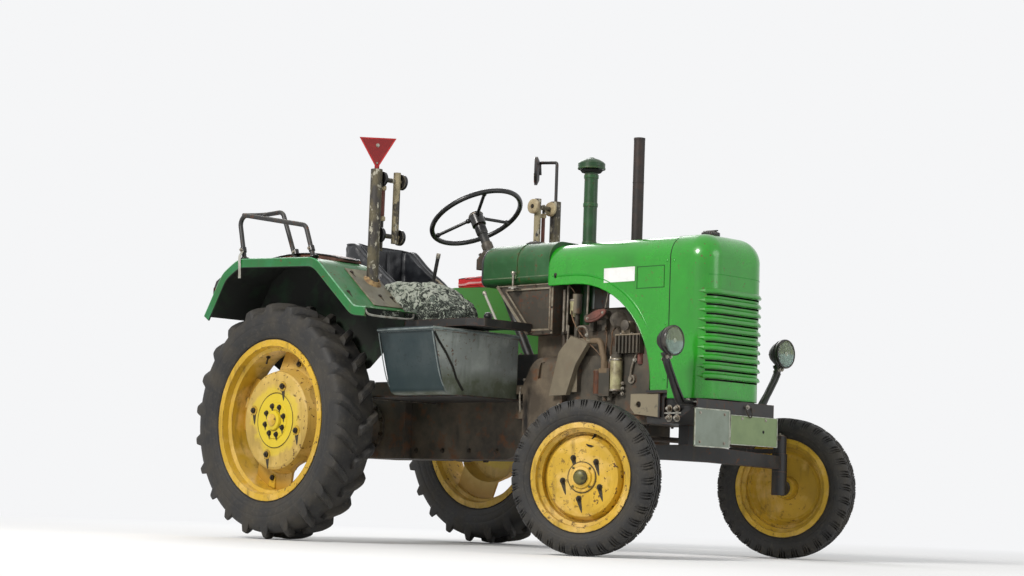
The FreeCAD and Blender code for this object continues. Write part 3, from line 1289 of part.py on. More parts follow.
def make_headlamps():
    """Bowls on bent arms, each with a ring and a domed glass."""
    shells = []
    glasses = []
    facing = FreeCAD.Rotation(Y_AXIS, X_AXIS)
    wide = "lamp_radius"
    for side, sign in SIDES:
        at = station("lamp_face", f"{sign} * lamp_y", "lamp_z")
        bowl = body("LampBowl", at, facing)
        turned(bowl, [
            ("-lamp_deep", "0"), ("-lamp_deep", "14"), ("-lamp_deep + 8", f"{wide} * 0.5"),
            ("-lamp_deep * 0.62", f"{wide} * 0.76"), ("-lamp_deep * 0.34", f"{wide} * 0.91"),
            ("-12", f"{wide} - 2"), ("-12", wide), ("0", wide), ("0", "0"),
        ])
        arm = bent_tube([("wheelbase + 150", f"{sign} * (frame_half + seat_gap)", "frame_top - 56"),
                         ("wheelbase + 150", f"{sign} * (lamp_y - 100)", "frame_top - 56"),
                         ("lamp_face - 40", f"{sign} * (lamp_y - 6)", "lamp_z - 90"),
                         ("lamp_face - 40", f"{sign} * lamp_y", "lamp_z - 30")], "lamp_arm", 24, "LampArm")
        shells.append(fuse(bowl, arm))
        glass = body("LampGlass", at, facing)
        turned(glass, [("0", "0"), ("0", f"{wide} - 5"), ("4", f"{wide} - 5"), ("9", f"{wide} - 22"),
                       ("12", f"{wide} * 0.3"), ("13", "0")])
        glasses.append(glass)
    node(apart(*shells), "headlamps")
    node(apart(*glasses), "headlamp_glasses")


def make_plates():
    x = ("plate_x - 3", "plate_x")
    square = box(x, ("-290", "-62"), ("460", "620"))
    wide = box(x, ("-58", "262"), ("478", "603"))
    node(apart(square, wide), "number_plates")


def make_rear_lamps():
    line = fender_line()[:2]
    lamps = []
    for side, sign in SIDES:
        (x0, z0), (x1, z1) = line
        lean = (x1 - x0) / (z1 - z0)
        low, high = z0 + 60, z0 + 140
        points = [(x0 + (low - z0) * lean, low), (x0 + (high - z0) * lean, high), (x0 + 5, high),
                  (x0 + 5, low)]
        ends = sorted([f"{sign} * (fender_out - 140)", f"{sign} * (fender_out - 50)"], key=size)
        lamps.append(side_plate(points, *ends))
    node(apart(*lamps), "rear_lamps")


def make_hitch():
    """Jaw for a drawbar eye, bolted to the rear of the axle housing."""
    back = box(("housing_rear - 14", "housing_rear"), ("-75", "75"), ("pto_z + 70", "housing_top - 45"))
    jaws = []
    for low, high in (("housing_top - 70", "housing_top - 48"), ("housing_top - 160", "housing_top - 138")):
        jaws.append(box(("housing_rear - 150", "housing_rear - 10"), ("-45", "45"), (low, high)))
    bore = cylinder("16", "300", station("housing_rear - 105", "0", "housing_top - 300"))
    node(cut(fuse(back, *jaws), bore), "hitch_jaw")


# Wheels, in a frame at the wheel's middle with its axle along Y


def wheel_point(angle, out, radius):
    """A point on a wheel: its angle from the top, its distance along the axle and its radius."""
    return FreeCAD.Vector(radius * math.sin(angle), out, radius * math.cos(angle))


def closed_solid(faces):
    """A solid from the flat faces that bound it."""
    shell = Part.makeShell(faces)
    shell.sewShape()
    solid = Part.makeSolid(shell)
    if solid.Volume < 0:
        solid.reverse()
    return solid


def flat_face(*corners):
    return Part.Face(Part.makePolygon(list(corners) + [corners[0]]))


def facets(*corners):
    """Four corners as one flat face, or as two triangles where they don't lie in one plane."""
    a, b, c, d = corners
    normal = (b - a).cross(c - a).normalize()
    if abs(normal.dot(d - a)) < 1e-7:
        return [flat_face(a, b, c, d)]
    return [flat_face(a, b, c), flat_face(a, c, d)]


def facet_ring(section, count):
    """A ring of flat facets about the axle, from (distance, radius) points, with a facet at the bottom."""
    faces = []
    for k in range(count):
        first, last = (2 * math.pi * (k + turn) / count for turn in (0.5, 1.5))
        for (out, radius), (next_out, next_radius) in zip(section, section[1:] + section[:1]):
            faces.append(flat_face(wheel_point(first, out, radius), wheel_point(last, out, radius),
                                   wheel_point(last, next_out, next_radius),
                                   wheel_point(first, next_out, next_radius)))
    return closed_solid(faces)


def mirrored_section(points):
    """A whole tyre section from the half that lies outboard of the middle."""
    return points + [(-out, radius) for out, radius in points[::-1]]


def rear_tyre_shape(lead_sign):
    """Carcass with two rows of lugs, half a pitch apart, as facets that meet along the lugs' roots.

    Facet 0 is at the bottom. It carries a lug of the outboard row."""
    count = 2 * int(size("lug_count"))
    step = 2 * math.pi / count
    half = size("rear_tyre_half")
    tread = size("rear_tread")
    tip = size("rear_tip")
    flange = size("rear_flange")
    bead = size("rear_rim_half - rim_sheet - shaft_gap")
    lead = lead_sign * math.radians(size("lug_lead"))
    root_half = size("lug_base") / 2 / tread
    tip_half = size("lug_top") / 2 / tip
    middle_share = 0.4
    # Columns: distance from the middle, radius, share of the lug's lead
    carcass = [(6, tread, 1.0), (half * 0.62, tread - 3, middle_share), (half - 13, tread - 16, 0.1),
               (half, tread - 58, 0.0), (bead, flange + 6, 0.0), (bead, flange - 23, 0.0)]
    lug_tips = [(9, tip - 2, 1.0), (half * 0.62, tip, middle_share), (half - 9, tip - 10, 0.1)]

    def has_lug(side, facet):
        return facet % 2 == (0 if side > 0 else 1)

    def root_ring(side, out, radius, share):
        """The points where facets meet, with the facets under lugs narrower than those between."""
        ring = []
        for facet in range(count):
            nearest = facet if has_lug(side, facet) else facet - 1
            edge = -root_half if has_lug(side, facet) else root_half
            angle = math.pi + nearest * step + edge + lead * (share - middle_share)
            ring.append(wheel_point(angle, side * out, radius))
        return ring

    faces = []

    def strip(first, last, wanted):
        for facet in range(count):
            after = (facet + 1) % count
            if wanted(facet):
                faces.extend(facets(first[facet], first[after], last[after], last[facet]))

    rings = {side: [root_ring(side, *row) for row in carcass] for side in (1, -1)}
    for end in (0, -1):
        strip(rings[1][end], rings[-1][end], lambda facet: True)
    for side in (1, -1):
        for k, (first, last) in enumerate(zip(rings[side], rings[side][1:])):
            strip(first, last, lambda facet: k >= len(lug_tips) or not has_lug(side, facet))
        for facet in (f for f in range(count) if has_lug(side, f)):
            roots = [(ring[facet], ring[(facet + 1) % count]) for ring in rings[side][:4]]
            tips = []
            for out, radius, share in lug_tips:
                centre = math.pi + facet * step + lead * (share - middle_share)
                tips.append([wheel_point(centre + edge, side * out, radius / math.cos(tip_half))
                             for edge in (-tip_half, tip_half)])
            for k in (0, 1):
                faces.extend(facets(tips[k][0], tips[k][1], tips[k + 1][1], tips[k + 1][0]))
                for flank in (0, 1):
                    faces.extend(facets(roots[k][flank], roots[k + 1][flank],
                                        tips[k + 1][flank], tips[k][flank]))
            for flank in (0, 1):
                faces.append(flat_face(roots[2][flank], roots[3][flank], tips[2][flank]))
            for root, top in ((roots[0], tips[0]), (roots[3], tips[2])):
                faces.extend(facets(root[0], root[1], top[1], top[0]))
    return closed_solid(faces)


def front_tyre_shape():
    """Steering tyre that rests on one of its flat facets."""
    count = int(size("front_facets"))
    half = size("front_tyre_half")
    flange = size("front_flange")
    tip = size("front_tip") / math.cos(math.pi / count)
    bead = size("front_rim_half - rim_sheet - shaft_gap")
    return facet_ring(mirrored_section([
        (size("crown_half"), tip), (half - 10, tip - 9), (half, tip - 38), (half, flange + 34),
        (bead, flange + 4), (bead, flange - 16),
    ]), count)


def disc_opening(at, turn, angle):
    """The gap between two lobes of a rear disc, as a prism that cuts it."""
    opening = body("LobeGap", at, turn * FreeCAD.Rotation(Y_AXIS, angle))
    # Columns: radius, degrees from the opening's middle
    corners = (("gap_inner", -13), ("gap_inner", 13), ("rear_flange", 25), ("rear_flange", -25))
    pad(opening, "XZ", [(f"{radius} * sin({turned_by} * 1deg)", f"{radius} * cos({turned_by} * 1deg)")
                        for radius, turned_by in corners], "-60", "dish_out + 10")
    inner = size("gap_inner") + 1
    round_edges(opening, lambda e: along(Y_AXIS)(e)
                and math.hypot(e.Vertexes[0].Point.x, e.Vertexes[0].Point.z) < inner, "26")
    return opening


def make_rear_wheels():
    half = "rear_rim_half"
    for side, sign in SIDES:
        at = station("0", f"{sign} * rear_track_half", "rear_tip")
        turn = FreeCAD.Rotation(Z_AXIS, 0 if sign > 0 else 180)
        tyre = solid_feature(rear_tyre_shape(sign), "RearTyre")
        node(place(tyre, at, turn), f"rear_tyre_{side}")
        rim = body("RearRim", at, turn)
        deep = "rear_flange - 45"
        seat = "rear_flange - 25"
        turned(rim, [
            (f"-{half}", "rear_flange"), (f"-{half} + rim_sheet", "rear_flange"),
            (f"-{half} + rim_sheet", seat),
            ("-60", f"{seat} - 4"), ("-50", deep), ("50", deep), ("60", f"{seat} - 4"),
            (f"{half} - rim_sheet", seat), (f"{half} - rim_sheet", "rear_flange"), (half, "rear_flange"),
            (half, f"{seat} - rim_sheet"), ("64", f"{seat} - 4 - rim_sheet"), ("54", f"{deep} - rim_sheet"),
            ("-54", f"{deep} - rim_sheet"), ("-64", f"{seat} - 4 - rim_sheet"),
            (f"-{half}", f"{seat} - rim_sheet"),
        ])
        node(rim, f"rear_rim_{side}")
        disc = body("RearDisc", at, turn)
        out = "dish_out"
        back = "dish_out - rim_sheet - 3"
        turned(disc, [
            ("-(rear_track_half - drum_end) - 35", "0"), ("-(rear_track_half - drum_end) - 35", "half_shaft"),
            (f"{out} - 40", "half_shaft"), (f"{out} - 40", "rear_hub_flange"), (back, "rear_hub_flange"),
            (back, "dish_face - 14"), (f"{out} - 14", "dish_face - 6"), (f"{out} - 30", "dish_face"),
            ("-22", "dish_face + 14"), ("-32", f"{deep} - rim_sheet"), ("-22", f"{deep} - rim_sheet"),
            ("-10", "dish_face + 22"), (f"{out} - 24", "dish_face + 8"), (f"{out} - 6", "dish_face + 3"),
            (out, "dish_face - 8"), (out, "rear_hub_flange + 6"), (f"{out} - 3", "rear_hub_flange + 3"),
            (out, "rear_hub_flange"), (out, "half_shaft + 50"), (f"{out} + 5", "half_shaft + 46"),
            (f"{out} + 5", "half_shaft + 10"), (f"{out} + 16", "half_shaft + 6"),
            (f"{out} + 20", "half_shaft - 8"), (f"{out} + 20", "0"),
        ])
        openings = [disc_opening(at, turn, sign * (size("gap_first") + 90 * k)) for k in range(4)]
        node(cut(disc, *openings), f"rear_disc_{side}")


def make_front_wheels():
    half = "front_rim_half"
    for side, sign in SIDES:
        angle = size("parked_steer")
        centre = station(f"wheelbase - {sign} * scrub * sin(parked_steer * 1deg)",
                         f"{sign} * (kingpin_y + scrub * cos(parked_steer * 1deg))", "front_tip")
        turn = FreeCAD.Rotation(Z_AXIS, angle if sign > 0 else angle + 180)
        tyre = solid_feature(front_tyre_shape(), "FrontTyre")
        node(place(tyre, centre, turn), f"front_tyre_{side}")
        rim = body("FrontRim", centre, turn)
        seat = "front_flange - 17"
        deep = "front_flange - 34"
        turned(rim, [
            (f"-{half}", "front_flange"), (f"-{half} + rim_sheet", "front_flange"),
            (f"-{half} + rim_sheet", seat),
            ("-32", seat), ("-24", deep), ("24", deep), ("32", seat), (f"{half} - rim_sheet", seat),
            (f"{half} - rim_sheet", "front_flange"), (half, "front_flange"), (half, f"{seat} - rim_sheet"),
            ("36", f"{seat} - rim_sheet"), ("28", f"{deep} - rim_sheet"), ("-28", f"{deep} - rim_sheet"),
            ("-36", f"{seat} - rim_sheet"), (f"-{half}", f"{seat} - rim_sheet"),
        ])
        disc = body("FrontDisc", centre, turn)
        out = "front_dish_out"
        bore = "stub_radius + shaft_gap"
        turned(disc, [
            ("-40", bore), ("-40", "45"), (f"{out} - 12", "52"), (f"{out} - 6", "front_dish - 26"),
            (f"{out} - 11", "front_dish - 12"), (f"{out} - 24", "front_dish - 4"), ("-8", "front_dish + 6"),
            ("-8", f"{deep} - rim_sheet + 0.5"), ("0", f"{deep} - rim_sheet + 0.5"), ("0", "front_dish + 12"),
            (f"{out} - 18", "front_dish + 6"), (f"{out} - 3", "front_dish - 5"), (out, "front_dish - 20"),
            (out, "62"), (f"{out} + 6", "58"), (f"{out} + 6", "46"), (f"{out} + 12", "43"),
            (f"{out} + 16", "30"), (f"{out} + 16", "0"), ("46", "0"), ("46", bore),
        ])
        node(fuse(rim, disc), f"front_rim_{side}")


make_rear_axle_housing()
make_gearbox()
make_flywheel_housing()
make_engine()
make_engine_fittings()
make_front_frame()
make_axle_beam()
make_knuckles()
make_tie_rod()
make_drag_link()
make_pitman_arm()
make_steering_gear()
make_steering_wheel()
make_bonnet()
make_grille_cowl()
make_radiator()
make_fuel_tank()
make_caps()
make_pipes()
make_dash_console()
make_fenders()
make_slope_plates()
make_posts()
make_reflector()
make_mirror()
make_grab_rail()
make_seat()
make_pads()
make_footboards()
make_side_bench()
make_side_tub()
make_controls()
make_headlamps()
make_plates()
make_rear_lamps()
make_hitch()
make_rear_wheels()
make_front_wheels()
doc.recompute()

for item in doc.Objects:
    if {"Invalid", "Error"} & set(item.State):
        raise ValueError(f"{item.Name} ({item.Label}) failed: {item.State}")
for item in NODES:
    if item.Shape.isNull() or not item.Shape.isValid() or not item.Shape.Solids:
        raise ValueError(f"{item.Label} is not a valid solid")

os.makedirs("parts", exist_ok=True)
for item in NODES:
    item.Shape.exportStep(f"parts/{item.Label}.step")
print(len(NODES), "parts written")
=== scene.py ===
import json
import math
import random

import bmesh
import bpy
from mathutils import Matrix, Vector, noise
from mathutils.bvhtree import BVHTree
from mathutils.geometry import intersect_point_line

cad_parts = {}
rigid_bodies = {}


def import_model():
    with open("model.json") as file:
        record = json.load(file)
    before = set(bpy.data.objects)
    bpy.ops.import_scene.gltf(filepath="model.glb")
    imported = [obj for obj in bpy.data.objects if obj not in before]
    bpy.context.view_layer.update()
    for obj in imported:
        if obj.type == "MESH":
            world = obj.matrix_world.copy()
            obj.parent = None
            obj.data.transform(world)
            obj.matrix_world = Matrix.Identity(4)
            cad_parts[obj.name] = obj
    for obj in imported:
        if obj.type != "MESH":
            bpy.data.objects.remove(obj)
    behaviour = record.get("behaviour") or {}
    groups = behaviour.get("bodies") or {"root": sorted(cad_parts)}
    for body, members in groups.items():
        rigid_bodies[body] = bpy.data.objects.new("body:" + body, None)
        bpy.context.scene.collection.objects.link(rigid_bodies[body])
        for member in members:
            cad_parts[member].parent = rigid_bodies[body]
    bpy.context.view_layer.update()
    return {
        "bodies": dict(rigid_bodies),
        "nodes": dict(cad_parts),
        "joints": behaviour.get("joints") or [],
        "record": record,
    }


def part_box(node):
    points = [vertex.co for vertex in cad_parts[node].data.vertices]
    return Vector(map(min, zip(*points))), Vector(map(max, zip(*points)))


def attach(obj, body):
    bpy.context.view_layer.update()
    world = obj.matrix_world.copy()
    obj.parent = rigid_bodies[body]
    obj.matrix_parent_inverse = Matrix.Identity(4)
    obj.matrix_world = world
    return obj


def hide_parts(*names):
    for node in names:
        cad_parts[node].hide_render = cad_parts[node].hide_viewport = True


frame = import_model()
NODES = frame["nodes"]
scene = bpy.context.scene

# The rear axle's place in the scene, in metres. Stations are millimetres forward of it.
REAR_AXLE = -0.85
# Places of the wheels in millimetres, and the turn of the front ones to the left in degrees
WHEELBASE = 1900
KINGPIN_Y = 610
FRONT_HUB_OUT = 90
FRONT_RADIUS = 315
REAR_WHEEL_Y = 690
REAR_RADIUS = 550
PARKED = 17.5
# Half widths and heights that trims lie on, in millimetres
HOOD_SIDE = 205
HOOD_TOP = 1365
CONSOLE_SIDE = 185
FENDER_SIDE = 846
FOOTBOARD_TOP = 670

AHEAD, BACK = (1, 0, 0), (-1, 0, 0)
LEFT, RIGHT = (0, 1, 0), (0, -1, 0)
UP, DOWN = (0, 0, 1), (0, 0, -1)
# The way out of a wheel, in the wheel's own frame
AXLE = (0, 1, 0)
SIDES = (("left", 1), ("right", -1))
BACKDROP = (0.915, 0.92, 0.93, 1)


# Camera and light


def camera():
    scene.view_settings.view_transform = "Standard"
    forward = Vector((-0.7003, 0.7064, 0.1027)).normalized()
    right = forward.cross(Vector(UP)).normalized()
    up = right.cross(forward)
    roll = math.radians(2.0)
    right, up = (right * math.cos(roll) + up * math.sin(roll), up * math.cos(roll) - right * math.sin(roll))
    data = bpy.data.cameras.new("Camera")
    data.sensor_width = 36
    data.lens = 2127 / 1024 * 36
    data.clip_end = 200
    item = bpy.data.objects.new("Camera", data)
    item.matrix_world = Matrix((
        (right.x, up.x, -forward.x, 6.898), (right.y, up.y, -forward.y, -7.026),
        (right.z, up.z, -forward.z, 0.184), (0, 0, 0, 1)))
    scene.collection.objects.link(item)
    scene.camera = item


def lamp(name, place, aim, size, power, colour=(1, 1, 1)):
    data = bpy.data.lights.new(name, "AREA")
    data.shape = "DISK"
    data.size = size
    data.energy = power
    data.color = colour
    item = bpy.data.objects.new(name, data)
    item.location = place
    item.rotation_euler = (Vector(aim) - Vector(place)).to_track_quat("-Z", "Y").to_euler()
    scene.collection.objects.link(item)


def seen_directly(tree):
    """1 for what the camera sees straight, in gloss or through glass, and 0 for light."""
    path = tree.nodes.new("ShaderNodeLightPath")
    seen = path.outputs["Is Camera Ray"]
    for ray in ("Is Glossy Ray", "Is Transmission Ray"):
        larger = tree.nodes.new("ShaderNodeMath")
        larger.operation = "MAXIMUM"
        tree.links.new(seen, larger.inputs[0])
        tree.links.new(path.outputs[ray], larger.inputs[1])
        seen = larger.outputs[0]
    return seen


def mix_shaders(tree, share, first, second, target):
    either = tree.nodes.new("ShaderNodeMixShader")
    for socket, source in zip(either.inputs, (share, first.outputs[0], second.outputs[0])):
        tree.links.new(source, socket)
    tree.links.new(either.outputs[0], target)


def make_world():
    world = bpy.data.worlds.new("Studio")
    scene.world = world
    world.use_nodes = True
    tree = world.node_tree
    tree.nodes.clear()
    light = tree.nodes.new("ShaderNodeBackground")
    light.inputs["Strength"].default_value = 0.55
    backdrop = tree.nodes.new("ShaderNodeBackground")
    backdrop.inputs["Color"].default_value = BACKDROP
    out = tree.nodes.new("ShaderNodeOutputWorld")
    mix_shaders(tree, seen_directly(tree), light, backdrop, out.inputs["Surface"])


def make_floor():
    """A pale floor that keeps the shadow and passes into the backdrop far away."""
    bpy.ops.mesh.primitive_plane_add(size=60, location=(0, 0, 0))
    floor = bpy.context.object
    floor.name = "Floor"
    surface = Surface("FloorPaint", (0.86, 0.865, 0.87), 0.9)
    tree = surface.tree
    away = surface.node("VectorMath")
    away.operation = "LENGTH"
    surface.link(surface.coords, away.inputs[0])
    far = surface.steps(away.outputs["Value"], 2.2, 7.0)
    glow = tree.nodes.new("ShaderNodeEmission")
    glow.inputs["Color"].default_value = BACKDROP
    share = surface.math("MULTIPLY", seen_directly(tree), far)
    mix_shaders(tree, share, surface.shader, glow, tree.nodes["Material Output"].inputs["Surface"])
    floor.data.materials.append(surface.material)


def studio():
    lamp("KeyLight", (0.6, -7.6, 6.0), (0, 0, 0.8), 2.4, 620, (1, 0.97, 0.93))
    lamp("FillLight", (7.5, 1.0, 3.5), (0, 0, 0.7), 4.0, 110)
    lamp("BackLight", (-6.0, 4.0, 5.0), (0, 0, 0.8), 4.0, 220)
    make_world()
    make_floor()


# Materials


class Surface:
    """A Principled material with helpers that add grain, wear and dirt in the object's own metres."""

    def __init__(self, name, colour, roughness=0.5, metallic=0.0):
        self.material = bpy.data.materials.new(name)
        self.material.use_nodes = True
        self.tree = self.material.node_tree
        self.shader = self.tree.nodes["Principled BSDF"]
        self.shader.inputs["Base Color"].default_value = (*colour, 1)
        self.shader.inputs["Roughness"].default_value = roughness
        self.shader.inputs["Metallic"].default_value = metallic
        self.colour = (*colour, 1)
        self.rough = roughness
        self.height = None
        self.coords = self.tree.nodes.new("ShaderNodeTexCoord").outputs["Object"]

    def link(self, source, target):
        self.tree.links.new(source, target)

    def node(self, kind, **inputs):
        item = self.tree.nodes.new("ShaderNode" + kind)
        for key, value in inputs.items():
            item.inputs[key.replace("_", " ")].default_value = value
        return item

    def feed(self, socket, value):
        """Sets a number on a socket, or links another socket to it."""
        if isinstance(value, (int, float)):
            socket.default_value = value
        else:
            self.link(value, socket)

    def noise(self, scale, detail=4, rough=0.6, stretch=(1, 1, 1), distort=0.0):
        mapping = self.node("Mapping", Scale=stretch)
        self.link(self.coords, mapping.inputs["Vector"])
        item = self.node("TexNoise", Scale=scale, Detail=detail, Roughness=rough, Distortion=distort)
        self.link(mapping.outputs["Vector"], item.inputs["Vector"])
        return item.outputs["Fac"]

    def cells(self, scale, feature="F1"):
        item = self.node("TexVoronoi", Scale=scale)
        item.feature = feature
        self.link(self.coords, item.inputs["Vector"])
        return item.outputs["Distance"]

    def wave(self, scale, direction):
        item = self.node("TexWave", Scale=scale)
        item.bands_direction = direction
        self.link(self.coords, item.inputs["Vector"])
        return item.outputs["Fac"]

    def steps(self, value, low, high, first=0.0, last=1.0):
        """A ramp from first to last as a value goes from low to high."""
        item = self.node("MapRange", From_Min=low, From_Max=high, To_Min=first, To_Max=last)
        self.link(value, item.inputs["Value"])
        return item.outputs["Result"]

    def math(self, operation, first, second):
        item = self.node("Math")
        item.operation = operation
        self.feed(item.inputs[0], first)
        self.feed(item.inputs[1], second)
        return item.outputs[0]

    def axis(self, letter):
        item = self.node("SeparateXYZ")
        self.link(self.coords, item.inputs[0])
        return item.outputs[letter]

    def within(self, edge=0.003, **ranges):
        """1 inside the given ranges of the object's own metres, such as X=(0.1, 0.2), and 0 outside."""
        mask = 1.0
        for letter, (low, high) in ranges.items():
            value = self.axis(letter)
            mask = self.math("MULTIPLY", mask, self.steps(value, low - edge, low + edge))
            mask = self.math("MULTIPLY", mask, self.steps(value, high - edge, high + edge, 1.0, 0.0))
        return mask

    def facing(self, letter="Z"):
        """How far the surface faces along an axis, from -1 to 1."""
        normal = self.node("TexCoord").outputs["Normal"]
        item = self.node("SeparateXYZ")
        self.link(normal, item.inputs[0])
        return item.outputs[letter]

    def edges(self, radius=0.004, low=0.02, high=0.25):
        """Worn edges: where a bevelled normal leaves the true one."""
        bevel = self.node("Bevel", Radius=radius)
        bevel.samples = 6
        true = self.node("NewGeometry").outputs["Normal"]
        dot = self.node("VectorMath")
        dot.operation = "DOT_PRODUCT"
        self.link(bevel.outputs["Normal"], dot.inputs[0])
        self.link(true, dot.inputs[1])
        return self.steps(self.math("SUBTRACT", 1.0, dot.outputs["Value"]), low, high)

    def tint(self, mask, colour, roughness=None, metallic=None):
        """Lays another colour over the surface where the mask is 1."""
        mixed = self.node("Mix")
        mixed.data_type = "RGBA"
        self.link(mask, mixed.inputs[0])
        if isinstance(self.colour, tuple):
            mixed.inputs[6].default_value = self.colour
        else:
            self.link(self.colour, mixed.inputs[6])
        mixed.inputs[7].default_value = (*colour, 1)
        self.colour = mixed.outputs[2]
        self.link(self.colour, self.shader.inputs["Base Color"])
        if roughness is not None:
            self.rough = self.blend(self.rough, roughness, mask)
            self.link(self.rough, self.shader.inputs["Roughness"])
        if metallic is not None:
            self.metal = self.blend(getattr(self, "metal", self.shader.inputs["Metallic"].default_value),
                                    metallic, mask)
            self.link(self.metal, self.shader.inputs["Metallic"])
        return self

    def mottle(self, scale, detail, low, high, colour, roughness=None, metallic=None):
        """Lays another colour on in patches, where noise passes from low to high."""
        return self.tint(self.steps(self.noise(scale, detail), low, high), colour, roughness, metallic)

    def blend(self, first, second, mask):
        item = self.node("Mix")
        item.data_type = "FLOAT"
        self.link(mask, item.inputs[0])
        self.feed(item.inputs[2], first)
        self.feed(item.inputs[3], second)
        return item.outputs[0]

    def relief(self, value, distance, strength=1.0):
        """Adds a bump of the given height in metres."""
        item = self.node("Bump", Strength=strength, Distance=distance)
        self.link(value, item.inputs["Height"])
        if self.height is not None:
            self.link(self.height, item.inputs["Normal"])
        self.height = item.outputs["Normal"]
        self.link(self.height, self.shader.inputs["Normal"])
        return self


def painted(name, colour, roughness=0.35, fade=(0.0, 0.0, 0.0), dirt=(0.09, 0.07, 0.045), wear=0.5, coat=0.0,
            rust=(0.10, 0.035, 0.012), dust=0.5):
    """Paint with faded patches, chips to rust, runs of dirt and dust on what faces up."""
    surface = Surface(name, colour, roughness)
    shade = tuple(0.62 * value for value in colour)
    surface.mottle(3.0, 5, 0.35, 0.7, shade, roughness + 0.1)
    if any(fade):
        surface.mottle(7.0, 6, 0.5, 0.72, fade, roughness + 0.2)
    streaks = surface.noise(9.0, 5, 0.6, (3.0, 3.0, 0.4))
    surface.tint(surface.steps(streaks, 0.56, 0.74, 0.0, 0.55 * wear), dirt, 0.75)
    if dust:
        up = surface.steps(surface.facing(), 0.25, 1.0)
        grain = surface.steps(surface.noise(22, 6), 0.35, 0.75)
        surface.tint(surface.math("MULTIPLY", surface.math("MULTIPLY", up, grain), dust), (0.26, 0.25, 0.20),
                     0.85)
    chips = surface.steps(surface.noise(46, 3, 0.7), 0.66 - 0.06 * wear, 0.68 - 0.05 * wear)
    patch = surface.steps(surface.noise(2.3, 3), 0.42, 0.62)
    surface.tint(surface.math("MULTIPLY", chips, patch), rust, 0.8)
    rim = surface.math("MULTIPLY", surface.edges(0.006), surface.steps(surface.noise(30, 4), 0.42, 0.55))
    surface.tint(surface.math("MULTIPLY", rim, min(1.0, wear)), rust, 0.7)
    surface.relief(surface.noise(120, 3), 0.0003, 0.5)
    if coat:
        surface.shader.inputs["Coat Weight"].default_value = coat
        surface.shader.inputs["Coat Roughness"].default_value = 0.12
    return surface


def casting(name, colour, light, rust=(0.12, 0.05, 0.02)):
    """Rough cast iron, oily in the dark and dusty where it is pale."""
    surface = Surface(name, colour, 0.62, 0.15)
    surface.mottle(6, 6, 0.42, 0.68, light, 0.85, 0.0)
    surface.mottle(14, 5, 0.55, 0.7, rust, 0.85, 0.0)
    surface.tint(surface.steps(surface.noise(4, 4, 0.6, (2, 2, 0.6)), 0.56, 0.7), (0.012, 0.01, 0.008), 0.3)
    surface.relief(surface.noise(160, 4), 0.0012, 0.7)
    surface.relief(surface.noise(25, 3), 0.002, 0.4)
    return surface


